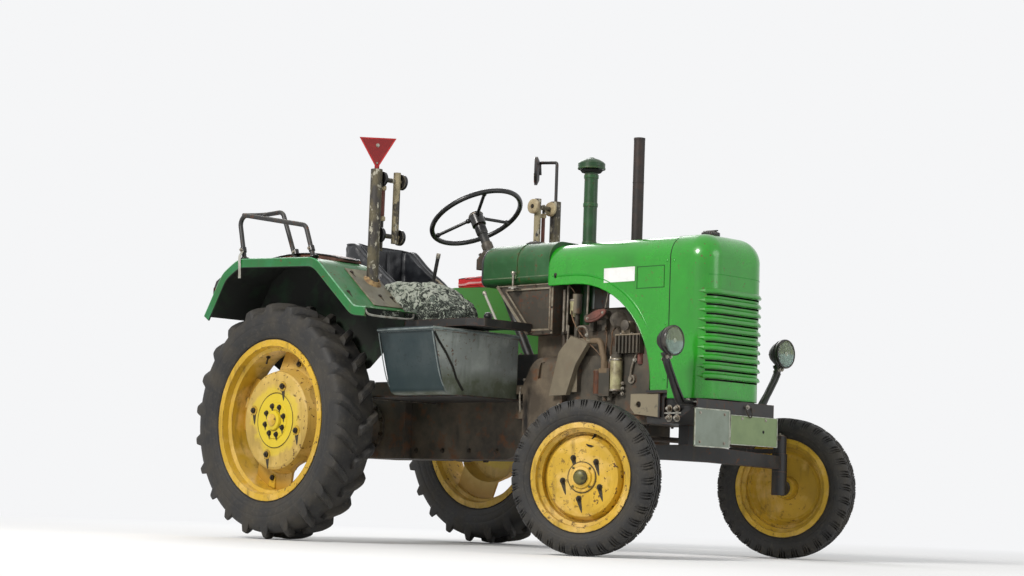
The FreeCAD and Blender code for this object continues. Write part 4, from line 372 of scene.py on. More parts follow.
def own_looks(looks):
    """Looks of single pieces, told apart on one piece by place and by which way it faces."""
    fender = looks["fender_green"]
    # Near-black under the fenders and on the outward face of their webs: painted shade, with some mud.
    under = fender.steps(fender.facing(), -0.35, -0.15, 1.0, 0.0)
    outward = fender.math("MULTIPLY", fender.facing("Y"), fender.axis("Y"))
    shaded_web = fender.math("MULTIPLY", fender.steps(outward, 0.44, 0.5), fender.steps(outward, 0.6, 0.7, 1.0, 0.0))
    mud_and_shade = fender.math("MAXIMUM", under, shaded_web)
    # A lighter green on the left fender's inner wall only: painted light.
    fender.tint(fender.within(Y=(0.50, 0.5425)), (0.04, 0.19, 0.008))
    fender.tint(fender.math("MULTIPLY", mud_and_shade, fender.steps(fender.noise(8, 5), 0.25, 0.5, 0.75, 1.0)),
                (0.012, 0.014, 0.011), 0.85)
    tank = looks["tank_green"]
    tank.tint(tank.within(X=(-9, -0.052), Z=(1.10, 1.42)), (0.010, 0.011, 0.012), 0.4)
    frame_iron = painted("FrameIron", (0.014, 0.014, 0.014), 0.45, fade=(0.035, 0.032, 0.028),
                         dirt=(0.07, 0.05, 0.032), wear=0.9, dust=0.5)
    ear = frame_iron.math("MULTIPLY", frame_iron.within(X=(0.5, 1.02), Z=(0.5, 0.686)),
                          frame_iron.steps(frame_iron.math("ABSOLUTE", frame_iron.axis("Y"), 0.0), 0.1855,
                                           0.187))
    ear = frame_iron.math("MULTIPLY", ear, frame_iron.steps(frame_iron.noise(20, 5), 0.28, 0.40))
    looks["frame_iron"] = frame_iron.tint(ear, (0.25, 0.215, 0.145), 0.8)
    fittings = casting("FittingsIron", (0.045, 0.04, 0.03), (0.11, 0.09, 0.065))
    duct = fittings.within(X=(0.3, 0.613), Y=(-0.3, -0.1765))
    worn = fittings.steps(fittings.noise(14, 5), 0.35, 0.6, 1.0, 0.75)
    fittings.tint(fittings.math("MULTIPLY", duct, worn), (0.19, 0.16, 0.108), 0.7)
    elbow = fittings.within(X=(0.616, 0.72), Y=(-0.3, -0.168), Z=(0.78, 0.94))
    looks["fittings_iron"] = fittings.tint(elbow, (0.15, 0.105, 0.06), 0.7)
    looks["bell_iron"] = casting("BellIron", (0.058, 0.044, 0.030), (0.16, 0.125, 0.082))
    controls = painted("ControlsIron", (0.012, 0.012, 0.012), 0.4, fade=(0.03, 0.028, 0.026), wear=0.8,
                       dust=0.3)
    looks["controls_iron"] = controls.tint(controls.within(Y=(-0.4, -0.29)), (0.36, 0.35, 0.30), 0.5)
    tub = painted("TubZinc", (0.25, 0.275, 0.26), 0.42, fade=(0.35, 0.375, 0.35), dirt=(0.06, 0.068, 0.06),
                  wear=1.0, dust=0.15)
    foot = tub.math("MULTIPLY", tub.within(Z=(0.6, 0.765), edge=0.03),
                    tub.steps(tub.noise(9, 5), 0.3, 0.55, 0.3, 0.9))
    tub.tint(foot, (0.06, 0.072, 0.038), 0.6)
    # The tub's outward side, facing right, in dark blue-green: painted shade.
    side = tub.math("MULTIPLY", tub.steps(tub.facing("Y"), -0.8, -0.5, 1.0, 0.0),
                    tub.steps(tub.noise(7, 5), 0.2, 0.6, 1.0, 0.92))
    looks["tub_zinc"] = tub.tint(side, (0.004, 0.018, 0.022), 0.62)
    console = painted("ConsoleSteel", (0.046, 0.037, 0.025), 0.5, fade=(0.088, 0.070, 0.046),
                                     dirt=(0.03, 0.022, 0.015), wear=1.3, rust=(0.11, 0.035, 0.015), dust=0.4)
    looks["console_steel"] = console.tint(console.within(Z=(1.372, 2.0)), (0.012, 0.012, 0.012), 0.5)
    looks["intake_green"] = painted("IntakeGreen", (0.004, 0.052, 0.007), 0.3, fade=(0.01, 0.075, 0.015),
                                    wear=0.5, dust=0.2)
    post = Surface("PeelingPost", (0.024, 0.020, 0.015), 0.55)
    post.tint(post.steps(post.noise(16, 5, 0.6, (1, 1, 0.6)), 0.44, 0.58), (0.10, 0.085, 0.05), 0.8)
    post.tint(post.steps(post.noise(40, 4, 0.65, (1, 1, 0.5)), 0.57, 0.60), (0.36, 0.34, 0.27), 0.75)
    slim = post.steps(post.math("ABSOLUTE", post.axis("Y"), 0.0), 0.49, 0.5, 1.0, 0.0)
    slim = post.math("MULTIPLY", slim, post.steps(post.noise(24, 4, 0.6, (1, 1, 0.5)), 0.40, 0.46))
    post.tint(slim, (0.33, 0.28, 0.17), 0.75)
    post.relief(post.noise(40, 4, 0.65, (1, 1, 0.5)), 0.001, 0.8)
    looks["post_paint"] = post
    disc = painted("DiscCream", (0.60, 0.40, 0.085), 0.46, fade=(0.66, 0.47, 0.16), dirt=(0.16, 0.09, 0.02),
                   wear=0.9, rust=(0.07, 0.03, 0.012), dust=0.1)
    hub = disc.node("VectorMath")
    hub.operation = "DISTANCE"
    flat = disc.node("CombineXYZ")
    disc.link(disc.axis("X"), flat.inputs[0])
    disc.link(disc.axis("Z"), flat.inputs[2])
    disc.link(flat.outputs[0], hub.inputs[0])
    hub.inputs[1].default_value = (REAR_AXLE, 0, REAR_RADIUS / 1000)
    spread_out = disc.math("ADD", hub.outputs["Value"], disc.steps(disc.noise(9, 5), 0.3, 0.7, -0.03, 0.03))
    plate = disc.steps(hub.outputs["Value"], 0.1265, 0.1275, 1.0, 0.0)
    spill = disc.steps(spread_out, 0.155, 0.175, 0.7, 0.0)
    disc.tint(disc.math("MAXIMUM", plate, spill), (0.62, 0.46, 0.012), 0.4)
    # Deeper orange-brown towards the disc's outer edge: painted shade by the rim.
    disc.tint(disc.steps(hub.outputs["Value"], 0.235, 0.30, 0.0, 0.75), (0.42, 0.22, 0.015), 0.5)
    looks["disc_cream"] = disc


# Pieces that don't take the plain look of their slot
OWN_LOOK = {
    "front_frame": "frame_iron", "engine_fittings": "fittings_iron", "flywheel_housing": "bell_iron",
    "controls": "controls_iron", "side_tub": "tub_zinc", "dash_console": "console_steel",
    "air_intake": "intake_green", "exhaust_pipe": "exhaust_black", "fender_posts": "post_paint",
    "rear_disc_left": "disc_cream", "rear_disc_right": "disc_cream",
}


def make_materials():
    looks = {}
    looks["bright_green"] = painted("BonnetGreen", (0.010, 0.32, 0.004), 0.24, dirt=(0.02, 0.08, 0.012),
                                    wear=0.35, coat=0.5, dust=0.12)
    looks["fender_green"] = painted("FenderGreen", (0.004, 0.135, 0.022), 0.34, fade=(0.012, 0.15, 0.05),
                                    wear=0.7, dust=0.28)
    looks["tank_green"] = painted("TankGreen", (0.010, 0.085, 0.016), 0.33, fade=(0.03, 0.12, 0.04), wear=0.7,
                                  dust=0.3)
    looks["wheel_yellow"] = painted("WheelYellow", (0.62, 0.38, 0.022), 0.5, fade=(0.74, 0.50, 0.16),
                                    dirt=(0.11, 0.065, 0.02), wear=1.15, rust=(0.07, 0.03, 0.012), dust=0.2)
    looks["black_iron"] = painted("BlackIron", (0.014, 0.014, 0.014), 0.45, fade=(0.035, 0.032, 0.028),
                                  dirt=(0.07, 0.05, 0.032), wear=0.9, dust=0.5)
    grip = Surface("BlackGrip", (0.009, 0.009, 0.009), 0.25)
    looks["black_plastic"] = grip.mottle(30, 4, 0.45, 0.75, (0.03, 0.028, 0.025), 0.45)
    # Dark, oily iron, kept darker still as painted shade over the engine and gearbox.
    looks["casting"] = casting("OilyShadedCasting", (0.038, 0.032, 0.024), (0.105, 0.085, 0.060))
    looks["bare_plate"] = painted("BarePlate", (0.13, 0.12, 0.085), 0.5, fade=(0.21, 0.20, 0.13),
                                  dirt=(0.05, 0.04, 0.03), wear=1.0, dust=0.6)
    looks["galvanised"] = painted("Galvanised", (0.15, 0.18, 0.175), 0.42, fade=(0.23, 0.27, 0.27),
                                  dirt=(0.035, 0.04, 0.04), wear=0.9, dust=0.2)
    looks["rusty_steel"] = painted("RustySteel", (0.045, 0.033, 0.026), 0.6, fade=(0.11, 0.09, 0.07),
                                   dirt=(0.02, 0.015, 0.012), wear=1.2, dust=0.3)
    rubber = Surface("DustyRubber", (0.012, 0.0115, 0.011), 0.62)
    rubber.mottle(9, 6, 0.42, 0.75, (0.050, 0.043, 0.032), 0.85)
    rubber.mottle(60, 5, 0.55, 0.8, (0.065, 0.06, 0.05), 0.9)
    rubber.relief(rubber.noise(90, 4), 0.001, 0.5)
    looks["tyre_rubber"] = rubber
    vinyl = Surface("BlackVinyl", (0.008, 0.009, 0.012), 0.36)
    vinyl.mottle(8, 4, 0.5, 0.78, (0.030, 0.034, 0.040), 0.46)
    vinyl.relief(vinyl.cells(420, "DISTANCE_TO_EDGE"), 0.0006, 0.6)
    looks["black_vinyl"] = vinyl
    cloth = Surface("PatternedCloth", (0.33, 0.35, 0.30), 0.9)
    low = cloth.steps(cloth.axis("Z"), 1.02, 1.20, 0.16, -0.06)
    patches = cloth.math("ADD", cloth.noise(26, 3, 0.55, distort=1.6), low)
    cloth.tint(cloth.steps(patches, 0.50, 0.55), (0.022, 0.026, 0.022), 0.95)
    cloth.tint(cloth.steps(cloth.noise(75, 2, 0.5, distort=2.2), 0.58, 0.62), (0.30, 0.34, 0.27), 0.95)
    cloth.tint(cloth.steps(cloth.noise(34, 2, 0.5, distort=0.8), 0.60, 0.65), (0.10, 0.12, 0.10), 0.95)
    cloth.relief(cloth.cells(700, "F1"), 0.0008, 0.7)
    looks["grey_cloth"] = cloth
    red = Surface("RedCloth", (0.50, 0.014, 0.018), 0.85)
    round_pad = red.math("ADD", red.axis("Y"), red.math("MULTIPLY", red.axis("Z"), -1.0))
    stripes = red.math("SINE", red.math("MULTIPLY", round_pad, 190.0), 0.0)
    red.tint(red.steps(red.math("ADD", stripes, red.noise(24, 3)), 1.0, 1.25), (0.62, 0.30, 0.30), 0.9)
    red.relief(red.cells(700, "F1"), 0.0008, 0.7)
    looks["red_cloth"] = red
    lens = Surface("LampGlass", (0.80, 0.88, 0.78), 0.06)
    lens.shader.inputs["Transmission Weight"].default_value = 0.92
    lens.shader.inputs["IOR"].default_value = 1.3
    lens.relief(lens.wave(26, "Y"), 0.0008, 0.4)
    looks["lens"] = lens
    looks["mirror"] = Surface("MirrorGlass", (0.86, 0.88, 0.88), 0.04, 1.0)
    reflector = Surface("RedReflector", (0.16, 0.003, 0.003), 0.3)
    reflector.mottle(26, 3, 0.45, 0.75, (0.20, 0.008, 0.006), 0.36)
    reflector.relief(reflector.cells(260, "F1"), 0.0005, 0.35)
    looks["red_reflector"] = reflector
    looks["plate_paint"] = painted("PlatePaint", (0.10, 0.15, 0.085), 0.45, fade=(0.13, 0.17, 0.11),
                                   dirt=(0.05, 0.055, 0.035), wear=0.7, dust=0.1)
    lamp_red = Surface("RedLamp", (0.12, 0.006, 0.006), 0.25)
    lamp_red.relief(lamp_red.wave(60, "Y"), 0.001, 0.6)
    looks["lamp_red"] = lamp_red
    grimy = Surface("GrimySteel", (0.020, 0.016, 0.011), 0.5, 0.4)
    grimy.mottle(60, 4, 0.5, 0.7, (0.07, 0.045, 0.02), 0.8, 0.0)
    looks["grimy_steel"] = grimy
    # Dark stains, also laid under the rear discs' lobe bolts as painted shadows.
    stain_shadow = Surface("StainAndShadow", (0.022, 0.017, 0.008), 0.7)
    stain_shadow.mottle(90, 4, 0.5, 0.75, (0.10, 0.065, 0.015), 0.8)
    looks["stain_and_shadow"] = stain_shadow
    olive = Surface("HubOlive", (0.11, 0.10, 0.022), 0.4, 0.1)
    olive.mottle(40, 5, 0.45, 0.6, (0.035, 0.03, 0.012), 0.6)
    looks["hub_olive"] = olive
    own_looks(looks)
    plain = (
        # Columns: look, colour, roughness, metal, mottle, size of the mottle
        # Black, also laid as dark discs in holes and a pipe's mouth as painted shade.
        ("hollow_black", (0.003, 0.003, 0.003), 0.9, 0.0, (0.006, 0.005, 0.005), 20),
        ("hood_green_edge", (0.008, 0.27, 0.008), 0.24, 0.0, (0.006, 0.20, 0.008), 6),
        ("hood_green_line", (0.002, 0.07, 0.003), 0.3, 0.0, (0.004, 0.10, 0.004), 12),
        ("white_plate", (0.80, 0.81, 0.80), 0.4, 0.0, (0.68, 0.68, 0.64), 14),
        ("bulb_glass", (0.75, 0.74, 0.66), 0.1, 0.0, (0.6, 0.6, 0.5), 60),
        ("lamp_ring", (0.42, 0.41, 0.38), 0.28, 0.9, (0.10, 0.085, 0.06), 34),
        ("black_gloss", (0.007, 0.007, 0.008), 0.28, 0.0, (0.028, 0.025, 0.02), 18),
        ("zinc_bolt", (0.38, 0.36, 0.31), 0.4, 0.7, (0.13, 0.085, 0.05), 45),
        # The square plate is white; it takes the grey-green it has in shade, as painted shade.
        ("square_plate", (0.22, 0.26, 0.21), 0.42, 0.0, (0.17, 0.20, 0.155), 9),
        ("wide_plate", (0.19, 0.26, 0.115), 0.42, 0.0, (0.14, 0.20, 0.085), 9),
        ("plate_edge", (0.50, 0.53, 0.45), 0.4, 0.0, (0.22, 0.22, 0.16), 30),
        ("rust_red", (0.16, 0.055, 0.04), 0.7, 0.0, (0.08, 0.035, 0.025), 30),
        ("oily_grey", (0.10, 0.085, 0.065), 0.5, 0.2, (0.03, 0.024, 0.018), 26),
        ("cream_paint", (0.40, 0.37, 0.20), 0.45, 0.0, (0.16, 0.13, 0.07), 24),
        ("copper_pipe", (0.15, 0.085, 0.045), 0.45, 0.6, (0.04, 0.03, 0.02), 50),
        ("dusty_steel", (0.23, 0.205, 0.165), 0.55, 0.35, (0.09, 0.065, 0.04), 40),
        ("brown_paint", (0.12, 0.04, 0.015), 0.5, 0.0, (0.05, 0.022, 0.012), 26),
        ("dusty_beige", (0.26, 0.215, 0.15), 0.75, 0.0, (0.12, 0.09, 0.06), 18),
        ("tank_seam", (0.055, 0.115, 0.05), 0.45, 0.0, (0.14, 0.19, 0.10), 16),
        ("bare_bracket", (0.40, 0.40, 0.36), 0.45, 0.2, (0.20, 0.18, 0.14), 22),
        ("bare_edge", (0.25, 0.22, 0.165), 0.5, 0.1, (0.12, 0.085, 0.05), 24),
        ("dial_face", (0.015, 0.015, 0.017), 0.3, 0.0, (0.03, 0.03, 0.03), 30),
        ("pilot_red", (0.35, 0.02, 0.015), 0.3, 0.0, (0.2, 0.01, 0.01), 30),
        ("exhaust_black", (0.012, 0.010, 0.009), 0.6, 0.2, (0.032, 0.018, 0.013), 22),
        # A light green for the fender's rolled top edge: a painted highlight.
        ("green_edge", (0.05, 0.26, 0.10), 0.28, 0.0, (0.30, 0.45, 0.34), 10),
        ("post_rust", (0.16, 0.06, 0.028), 0.8, 0.0, (0.06, 0.028, 0.018), 40),
        ("roller_cream", (0.48, 0.40, 0.24), 0.5, 0.0, (0.25, 0.18, 0.10), 26),
        ("seat_piping", (0.02, 0.021, 0.023), 0.4, 0.0, (0.05, 0.052, 0.056), 40),
        ("tread_steel", (0.05, 0.046, 0.04), 0.45, 0.3, (0.14, 0.12, 0.09), 40),
        ("board_brown", (0.10, 0.035, 0.018), 0.6, 0.0, (0.05, 0.022, 0.014), 16),
        ("tub_rim", (0.19, 0.225, 0.22), 0.4, 0.1, (0.09, 0.11, 0.11), 20),
        ("lamp_rim", (0.035, 0.034, 0.032), 0.25, 0.6, (0.12, 0.11, 0.09), 24),
        # The headlamp bowl's two halves, olive above and pale blue below: a painted reflection.
        ("lamp_upper", (0.10, 0.12, 0.012), 0.25, 0.6, (0.05, 0.07, 0.01), 18),
        ("lamp_lower", (0.26, 0.36, 0.38), 0.22, 0.7, (0.12, 0.18, 0.19), 16),
        ("weld_tan", (0.30, 0.20, 0.085), 0.7, 0.0, (0.13, 0.07, 0.03), 60),
        ("reflector_edge", (0.42, 0.012, 0.012), 0.3, 0.0, (0.28, 0.01, 0.01), 30),
    )
    for name, colour, roughness, metal, mottle, size in plain:
        surface = Surface("".join(word.capitalize() for word in name.split("_")), colour, roughness, metal)
        surface.mottle(size, 5, 0.42, 0.68, mottle)
        surface.relief(surface.noise(size * 6, 4), 0.0004, 0.5)
        looks[name] = surface
    return looks


LOOKS = make_materials()
camera()
studio()

# Geometry helpers. Forms are given in millimetres from the rear axle's station, as the solids are.


CHASSIS = Matrix.Translation((REAR_AXLE, 0, 0)) @ Matrix.Scale(0.001, 4)


def wheel_frame(x, y, z, turn):
    """The frame of a wheel: its middle, turned about the upright axis by degrees."""
    return CHASSIS @ Matrix.Translation((x, y, z)) @ Matrix.Rotation(math.radians(turn), 4, "Z")


def spread(axis):
    """Two directions at right angles to an axis and to each other."""
    axis = Vector(axis).normalized()
    side = axis.cross(Vector(UP))
    if side.length < 1e-4:
        side = Vector(AHEAD)
    side.normalize()
    return side, axis.cross(side)


def heading(line, k):
    """The direction of a line of points at one of them."""
    return (Vector(line[min(k + 1, len(line) - 1)]) - Vector(line[max(k - 1, 0)])).normalized()


class Kit:
    """Many forms that ride on one body, kept as one joined mesh, each form with its own look."""

    def __init__(self, name, body, slot, frame=CHASSIS):
        self.name = name
        self.body = body
        self.slot = slot
        self.frame = frame
        self.work = bmesh.new()
        self.looks = []

    def index(self, look):
        if look not in self.looks:
            self.looks.append(look)
        return self.looks.index(look)

    def rings(self, look, rings, closed_run=False, caps=True, open_ring=False):
        """A surface through rings of points."""
        slot = self.index(look)
        start = len(self.work.verts)
        rows = [[self.work.verts.new(self.frame @ Vector(point)) for point in ring] for ring in rings]
        pairs = list(zip(rows, rows[1:])) + ([(rows[-1], rows[0])] if closed_run else [])
        faces = []
        for first, second in pairs:
            count = len(first)
            for k in range(count - 1 if open_ring else count):
                after = (k + 1) % count
                faces.append(self.work.faces.new((first[k], first[after], second[after], second[k])))
        if caps and not closed_run and not open_ring:
            faces.append(self.work.faces.new(rows[0][::-1]))
            faces.append(self.work.faces.new(rows[-1]))
        for face in faces:
            face.material_index = slot
        self.work.verts.ensure_lookup_table()
        bmesh.ops.remove_doubles(self.work, verts=self.work.verts[start:], dist=2e-6)

    def turned(self, look, at, axis, profile, steps=32, closed=False):
        """A form turned about an axis through a place, from (radius, height) points."""
        side, up = spread(axis)
        along = Vector(axis).normalized()
        at = Vector(at)
        rings = []
        for radius, height in profile:
            rings.append([at + along * height
                          + (side * math.cos(a) + up * math.sin(a)) * max(radius, 0.0)
                          for a in (2 * math.pi * k / steps for k in range(steps))])
        self.rings(look, rings, closed_run=closed, caps=not closed)

    def pipe(self, look, points, radius, steps=6, order=3):
        """A round pipe along a smooth line through its route."""
        data = bpy.data.curves.new("Route", "CURVE")
        data.dimensions = "3D"
        data.bevel_depth = radius / 1000
        data.bevel_resolution = steps // 2
        data.resolution_u = 8
        data.use_fill_caps = True
        line = data.splines.new("NURBS")
        line.points.add(len(points) - 1)
        for slot, point in zip(line.points, points):
            slot.co = (*(self.frame @ Vector(point)), 1)
        line.order_u = min(order, len(points))
        line.use_endpoint_u = True
        self.take(look, data)

    def take(self, look, data):
        """Adds what a curve's data makes, and drops the curve."""
        item = bpy.data.objects.new("Route", data)
        scene.collection.objects.link(item)
        mesh = bpy.data.meshes.new_from_object(item.evaluated_get(bpy.context.evaluated_depsgraph_get()))
        start = len(self.work.faces)
        self.work.from_mesh(mesh)
        self.work.faces.ensure_lookup_table()
        slot = self.index(look)
        for face in self.work.faces[start:]:
            face.material_index = slot
        bpy.data.objects.remove(item)
        bpy.data.curves.remove(data)
        bpy.data.meshes.remove(mesh)

    def slab(self, look, outline, push, chamfer=0.0):
        """A plate: a flat outline pushed through a distance, its far edges cut back by a chamfer."""
        push = Vector(push)
        outline = [Vector(point) for point in outline]
        rings = [outline]
        if chamfer:
            centre = sum(outline, Vector()) / len(outline)
            rings.append([point + push * (1 - chamfer / push.length) for point in outline])
            rings.append([point + push - (point - centre).normalized() * chamfer for point in outline])
        else:
            rings.append([point + push for point in outline])
        self.rings(look, rings)

    def box(self, look, low, high, chamfer=1.0):
        """A block with softened edges between two corners, given in either order."""
        low, high = (Vector([pick(pair) for pair in zip(low, high)]) for pick in (min, max))
        deep = min(chamfer, min(high - low) / 3)
        rings = []
        for z, inset in ((low.z, deep), (low.z + deep, 0), (high.z - deep, 0), (high.z, deep)):
            rings.append([(low.x + inset, low.y + inset, z), (high.x - inset, low.y + inset, z),
                          (high.x - inset, high.y - inset, z), (low.x + inset, high.y - inset, z)])
        self.rings(look, rings)

    def bolt(self, look, at, axis, flats=14, tall=8, washer=True, turn=0.0):
        """A hexagon head on its washer."""
        side, up = spread(axis)
        along = Vector(axis).normalized()
        at = Vector(at)
        if washer:
            self.turned(look, at, axis,
                        [(flats * 0.78, 0), (flats * 0.78, tall * 0.16), (flats * 0.5, tall * 0.2)], 20)
        corner = flats / math.sqrt(3)
        rings = []
        for height, share in ((tall * 0.1, 1.0), (tall * 0.82, 1.0), (tall, 0.86)):
            rings.append([at + along * height + (side * math.cos(a) + up * math.sin(a)) * corner * share
                          for a in (turn + math.pi / 3 * k for k in range(6))])
        self.rings(look, rings)

    def ribbon(self, look, points, across, thick):
        """A flat strip along a line of points: across is half its width as a vector."""
        across = Vector(across)
        line = [Vector(point) for point in points]
        rings = []
        for k, point in enumerate(line):
            up = heading(line, k).cross(across).normalized() * (thick / 2)
            rings.append([point - across - up, point + across - up, point + across + up, point - across + up])
        self.rings(look, rings)

    def done(self, sharp=38, bevel=0.0):
        """Makes the object: smooth faces, with edges sharper than an angle left sharp."""
        bmesh.ops.recalc_face_normals(self.work, faces=self.work.faces)
        limit = math.radians(sharp)
        for face in self.work.faces:
            face.smooth = True
        for edge in self.work.edges:
            edge.smooth = len(edge.link_faces) != 2 or edge.calc_face_angle(0.0) < limit
        mesh = bpy.data.meshes.new(self.name)
        self.work.to_mesh(mesh)
        self.work.free()
        item = bpy.data.objects.new(self.name, mesh)
        scene.collection.objects.link(item)
        for look in self.looks:
            mesh.materials.append(LOOKS[look].material)
        if bevel:
            soft = item.modifiers.new("Soft", "BEVEL")
            soft.width = bevel / 1000
            soft.segments = 2
            soft.limit_method = "ANGLE"
            soft.angle_limit = limit
            soft.harden_normals = False
        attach(item, self.body)
        return item


# Tyres and what is bolted to the wheels


def rear_frame(sign):
    return wheel_frame(0, sign * REAR_WHEEL_Y, REAR_RADIUS, 0 if sign > 0 else 180)


def front_frame(sign):
    """A front wheel's frame: its hub stands out from the kingpin and is turned with it."""
    angle = math.radians(PARKED)
    x = WHEELBASE - sign * FRONT_HUB_OUT * math.sin(angle)
    y = sign * (KINGPIN_Y + FRONT_HUB_OUT * math.cos(angle))
    return wheel_frame(x, y, FRONT_RADIUS, PARKED if sign > 0 else PARKED + 180)


def on_wheel(angle, out, radius):
    """A point on a wheel: its angle from the top, its distance along the axle and its radius."""
    return Vector((radius * math.sin(angle), out, radius * math.cos(angle)))


def ring_lathe(kit, look, section, steps):
    """A ring about the axle from (distance, radius) points, closed through its inside."""
    rings = [[on_wheel(2 * math.pi * k / steps, out, radius) for k in range(steps)]
             for out, radius in section]
    kit.rings(look, rings, closed_run=True)


REAR_TYRE_SECTION = [
    (6, 523.5), (40, 523), (72, 521), (92, 515), (104, 507), (110, 497), (114, 484), (117, 466), (117, 452),
    (115.6, 449), (116.4, 441), (115, 430), (112, 417), (110.5, 414.5), (110.5, 411), (107, 402),
    (102.5, 394), (101.6, 389.5), (98, 386.5), (96.5, 383), (92, 381), (89.6, 379), (89.4, 352),
]
# Columns: distance from the middle, radius under the lug, radius of its tip, share of its lead, half root, half tip
LUG = [
    (4, 521, 534, 1.02, 25, 11), (8, 521, 546.4, 0.99, 27, 14.5), (24, 521, 549.2, 0.84, 27, 15.5),
    (48, 520, 549.7, 0.62, 27, 15), (72, 518, 549.4, 0.40, 27, 15), (90, 512, 545, 0.25, 27.5, 15),
    (102, 506, 540.5, 0.15, 28, 15), (107, 502, 536, 0.11, 28.5, 15.5), (110, 492, 522, 0.08, 29, 18),
    (113.4, 479, 497, 0.04, 29, 22), (116.2, 464, 471, 0.0, 29, 26),
]


def rear_tyre(side, sign):
    kit = Kit(f"RearTyre.{side}", f"rear_wheel_{side}", "tyre_rubber", rear_frame(sign))
    whole = REAR_TYRE_SECTION[::-1] + [(-out, radius) for out, radius in REAR_TYRE_SECTION]
    ring_lathe(kit, "tyre_rubber", whole, 176)
    lead = sign * math.radians(9)
    worn = random.Random(11)
    for row in (1, -1):
        for k in range(22):
            middle = math.pi + 2 * math.pi * (k + (0 if row > 0 else 0.5)) / 22
            wear = worn.uniform(0.0, 2.2)
            rings = []
            for out, root, tip, share, half_root, half_tip in LUG:
                top = tip - (wear if tip > 530 else 0) * 0.7
                angle = middle + lead * (share - 0.4)
                section = [(-half_root, root), (-half_root * 0.97, root + (top - root) * 0.12),
                           (-half_tip - 2.2, root + (top - root) * 0.78), (-half_tip + 0.8, top - 1.8),
                           (-half_tip * 0.45, top - 0.2), (half_tip * 0.45, top - 0.2),
                           (half_tip - 0.8, top - 1.8), (half_tip + 2.2, root + (top - root) * 0.78),
                           (half_root * 0.97, root + (top - root) * 0.12), (half_root, root)]
                rings.append([on_wheel(angle + across / radius, row * out, radius)
                              for across, radius in section])
            kit.rings("tyre_rubber", rings)
    tyre = kit.done(sharp=30)
    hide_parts(f"rear_tyre_{side}")


FRONT_TYRE_SECTION = [
    (2.5, 311.5), (2.5, 305.5), (6, 305.5), (6, 311.2), (20, 310.5), (20, 304.5), (24, 304.5), (24, 310),
    (38, 308.5), (38, 302), (42, 301), (50, 296), (57, 288), (62, 281), (64.6, 272), (65, 262), (64, 258.5),
    (64.4, 254), (62, 248), (60.5, 246.5), (60.3, 244), (57, 236), (55.2, 233.5), (54, 229), (51.5, 226.5),
    (49.6, 224.5), (49.4, 205.5),
]
# Columns: start and end of a shoulder block, as shares of the pitch
SHOULDER_BLOCKS = ((0.06, 0.60), (0.70, 0.82), (0.90, 0.98))
# Columns: distance from the middle, radius
SHOULDER = [(37, 313.8), (46, 312.6), (52, 308), (56.5, 302.5), (60, 294), (62.8, 285), (64.7, 276.5)]


def front_tyre(side, sign):
    kit = Kit(f"FrontTyre.{side}", f"front_wheel_{side}", "tyre_rubber", front_frame(sign))
    whole = FRONT_TYRE_SECTION[::-1] + [(-out, radius) for out, radius in FRONT_TYRE_SECTION]
    ring_lathe(kit, "tyre_rubber", whole, 160)
    pitch = 2 * math.pi / 32
    for row in (1, -1):
        for k in range(32):
            for first, last in SHOULDER_BLOCKS:
                rings = []
                for out, radius in SHOULDER:
                    lean = 0.10 * (57 - out) / 20
                    edges = [(k + share + lean) * pitch for share in (first, last)]
                    foot = radius - 9
                    rings.append([on_wheel(edges[0], row * out, foot),
                                  on_wheel(edges[0] + 0.004, row * out, radius - 1),
                                  on_wheel(edges[0] + 0.012, row * out, radius),
                                  on_wheel(edges[1] - 0.012, row * out, radius),
                                  on_wheel(edges[1] - 0.004, row * out, radius - 1),
                                  on_wheel(edges[1], row * out, foot)])
                kit.rings("tyre_rubber", rings)
            for low, high, shift in ((26, 36, 0.0), (8, 18, 0.33)):
                rings = []
                for share in (0.05, 0.30, 0.36, 0.62, 0.68, 0.95):
                    zig = 1.6 if 0.3 < share < 0.65 else -1.6
                    turned_by = (k + share + shift) * pitch
                    rings.append([on_wheel(turned_by, row * (low + zig), 306),
                                  on_wheel(turned_by, row * (low + zig), 313.9),
                                  on_wheel(turned_by, row * (high + zig), 313.9),
                                  on_wheel(turned_by, row * (high + zig), 306)])
                kit.rings("tyre_rubber", rings)
    tyre = kit.done(sharp=40)
    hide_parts(f"front_tyre_{side}")


def drip_and_shadow(kit, look, at, out, long, wide, lean):
    """A dark drop run down from a fixing on a wheel's face: a stain, and under the rear discs' lobe bolts partly a
    painted shadow.
    """
    at = Vector(at)
    outline = []
    for k in range(20):
        share = k / 19
        half = wide * (1 - share) ** 0.6 * (1 if share > 0.12 else 0.7 + share * 2.5)
        outline.append((share, half))
    left = [at + Vector((lean * share * long - half, 0, -share * long)) for share, half in outline]
    right = [at + Vector((lean * share * long + half, 0, -share * long)) for share, half in outline[:-1]]
    kit.slab(look, left + right[::-1], (0, out, 0))


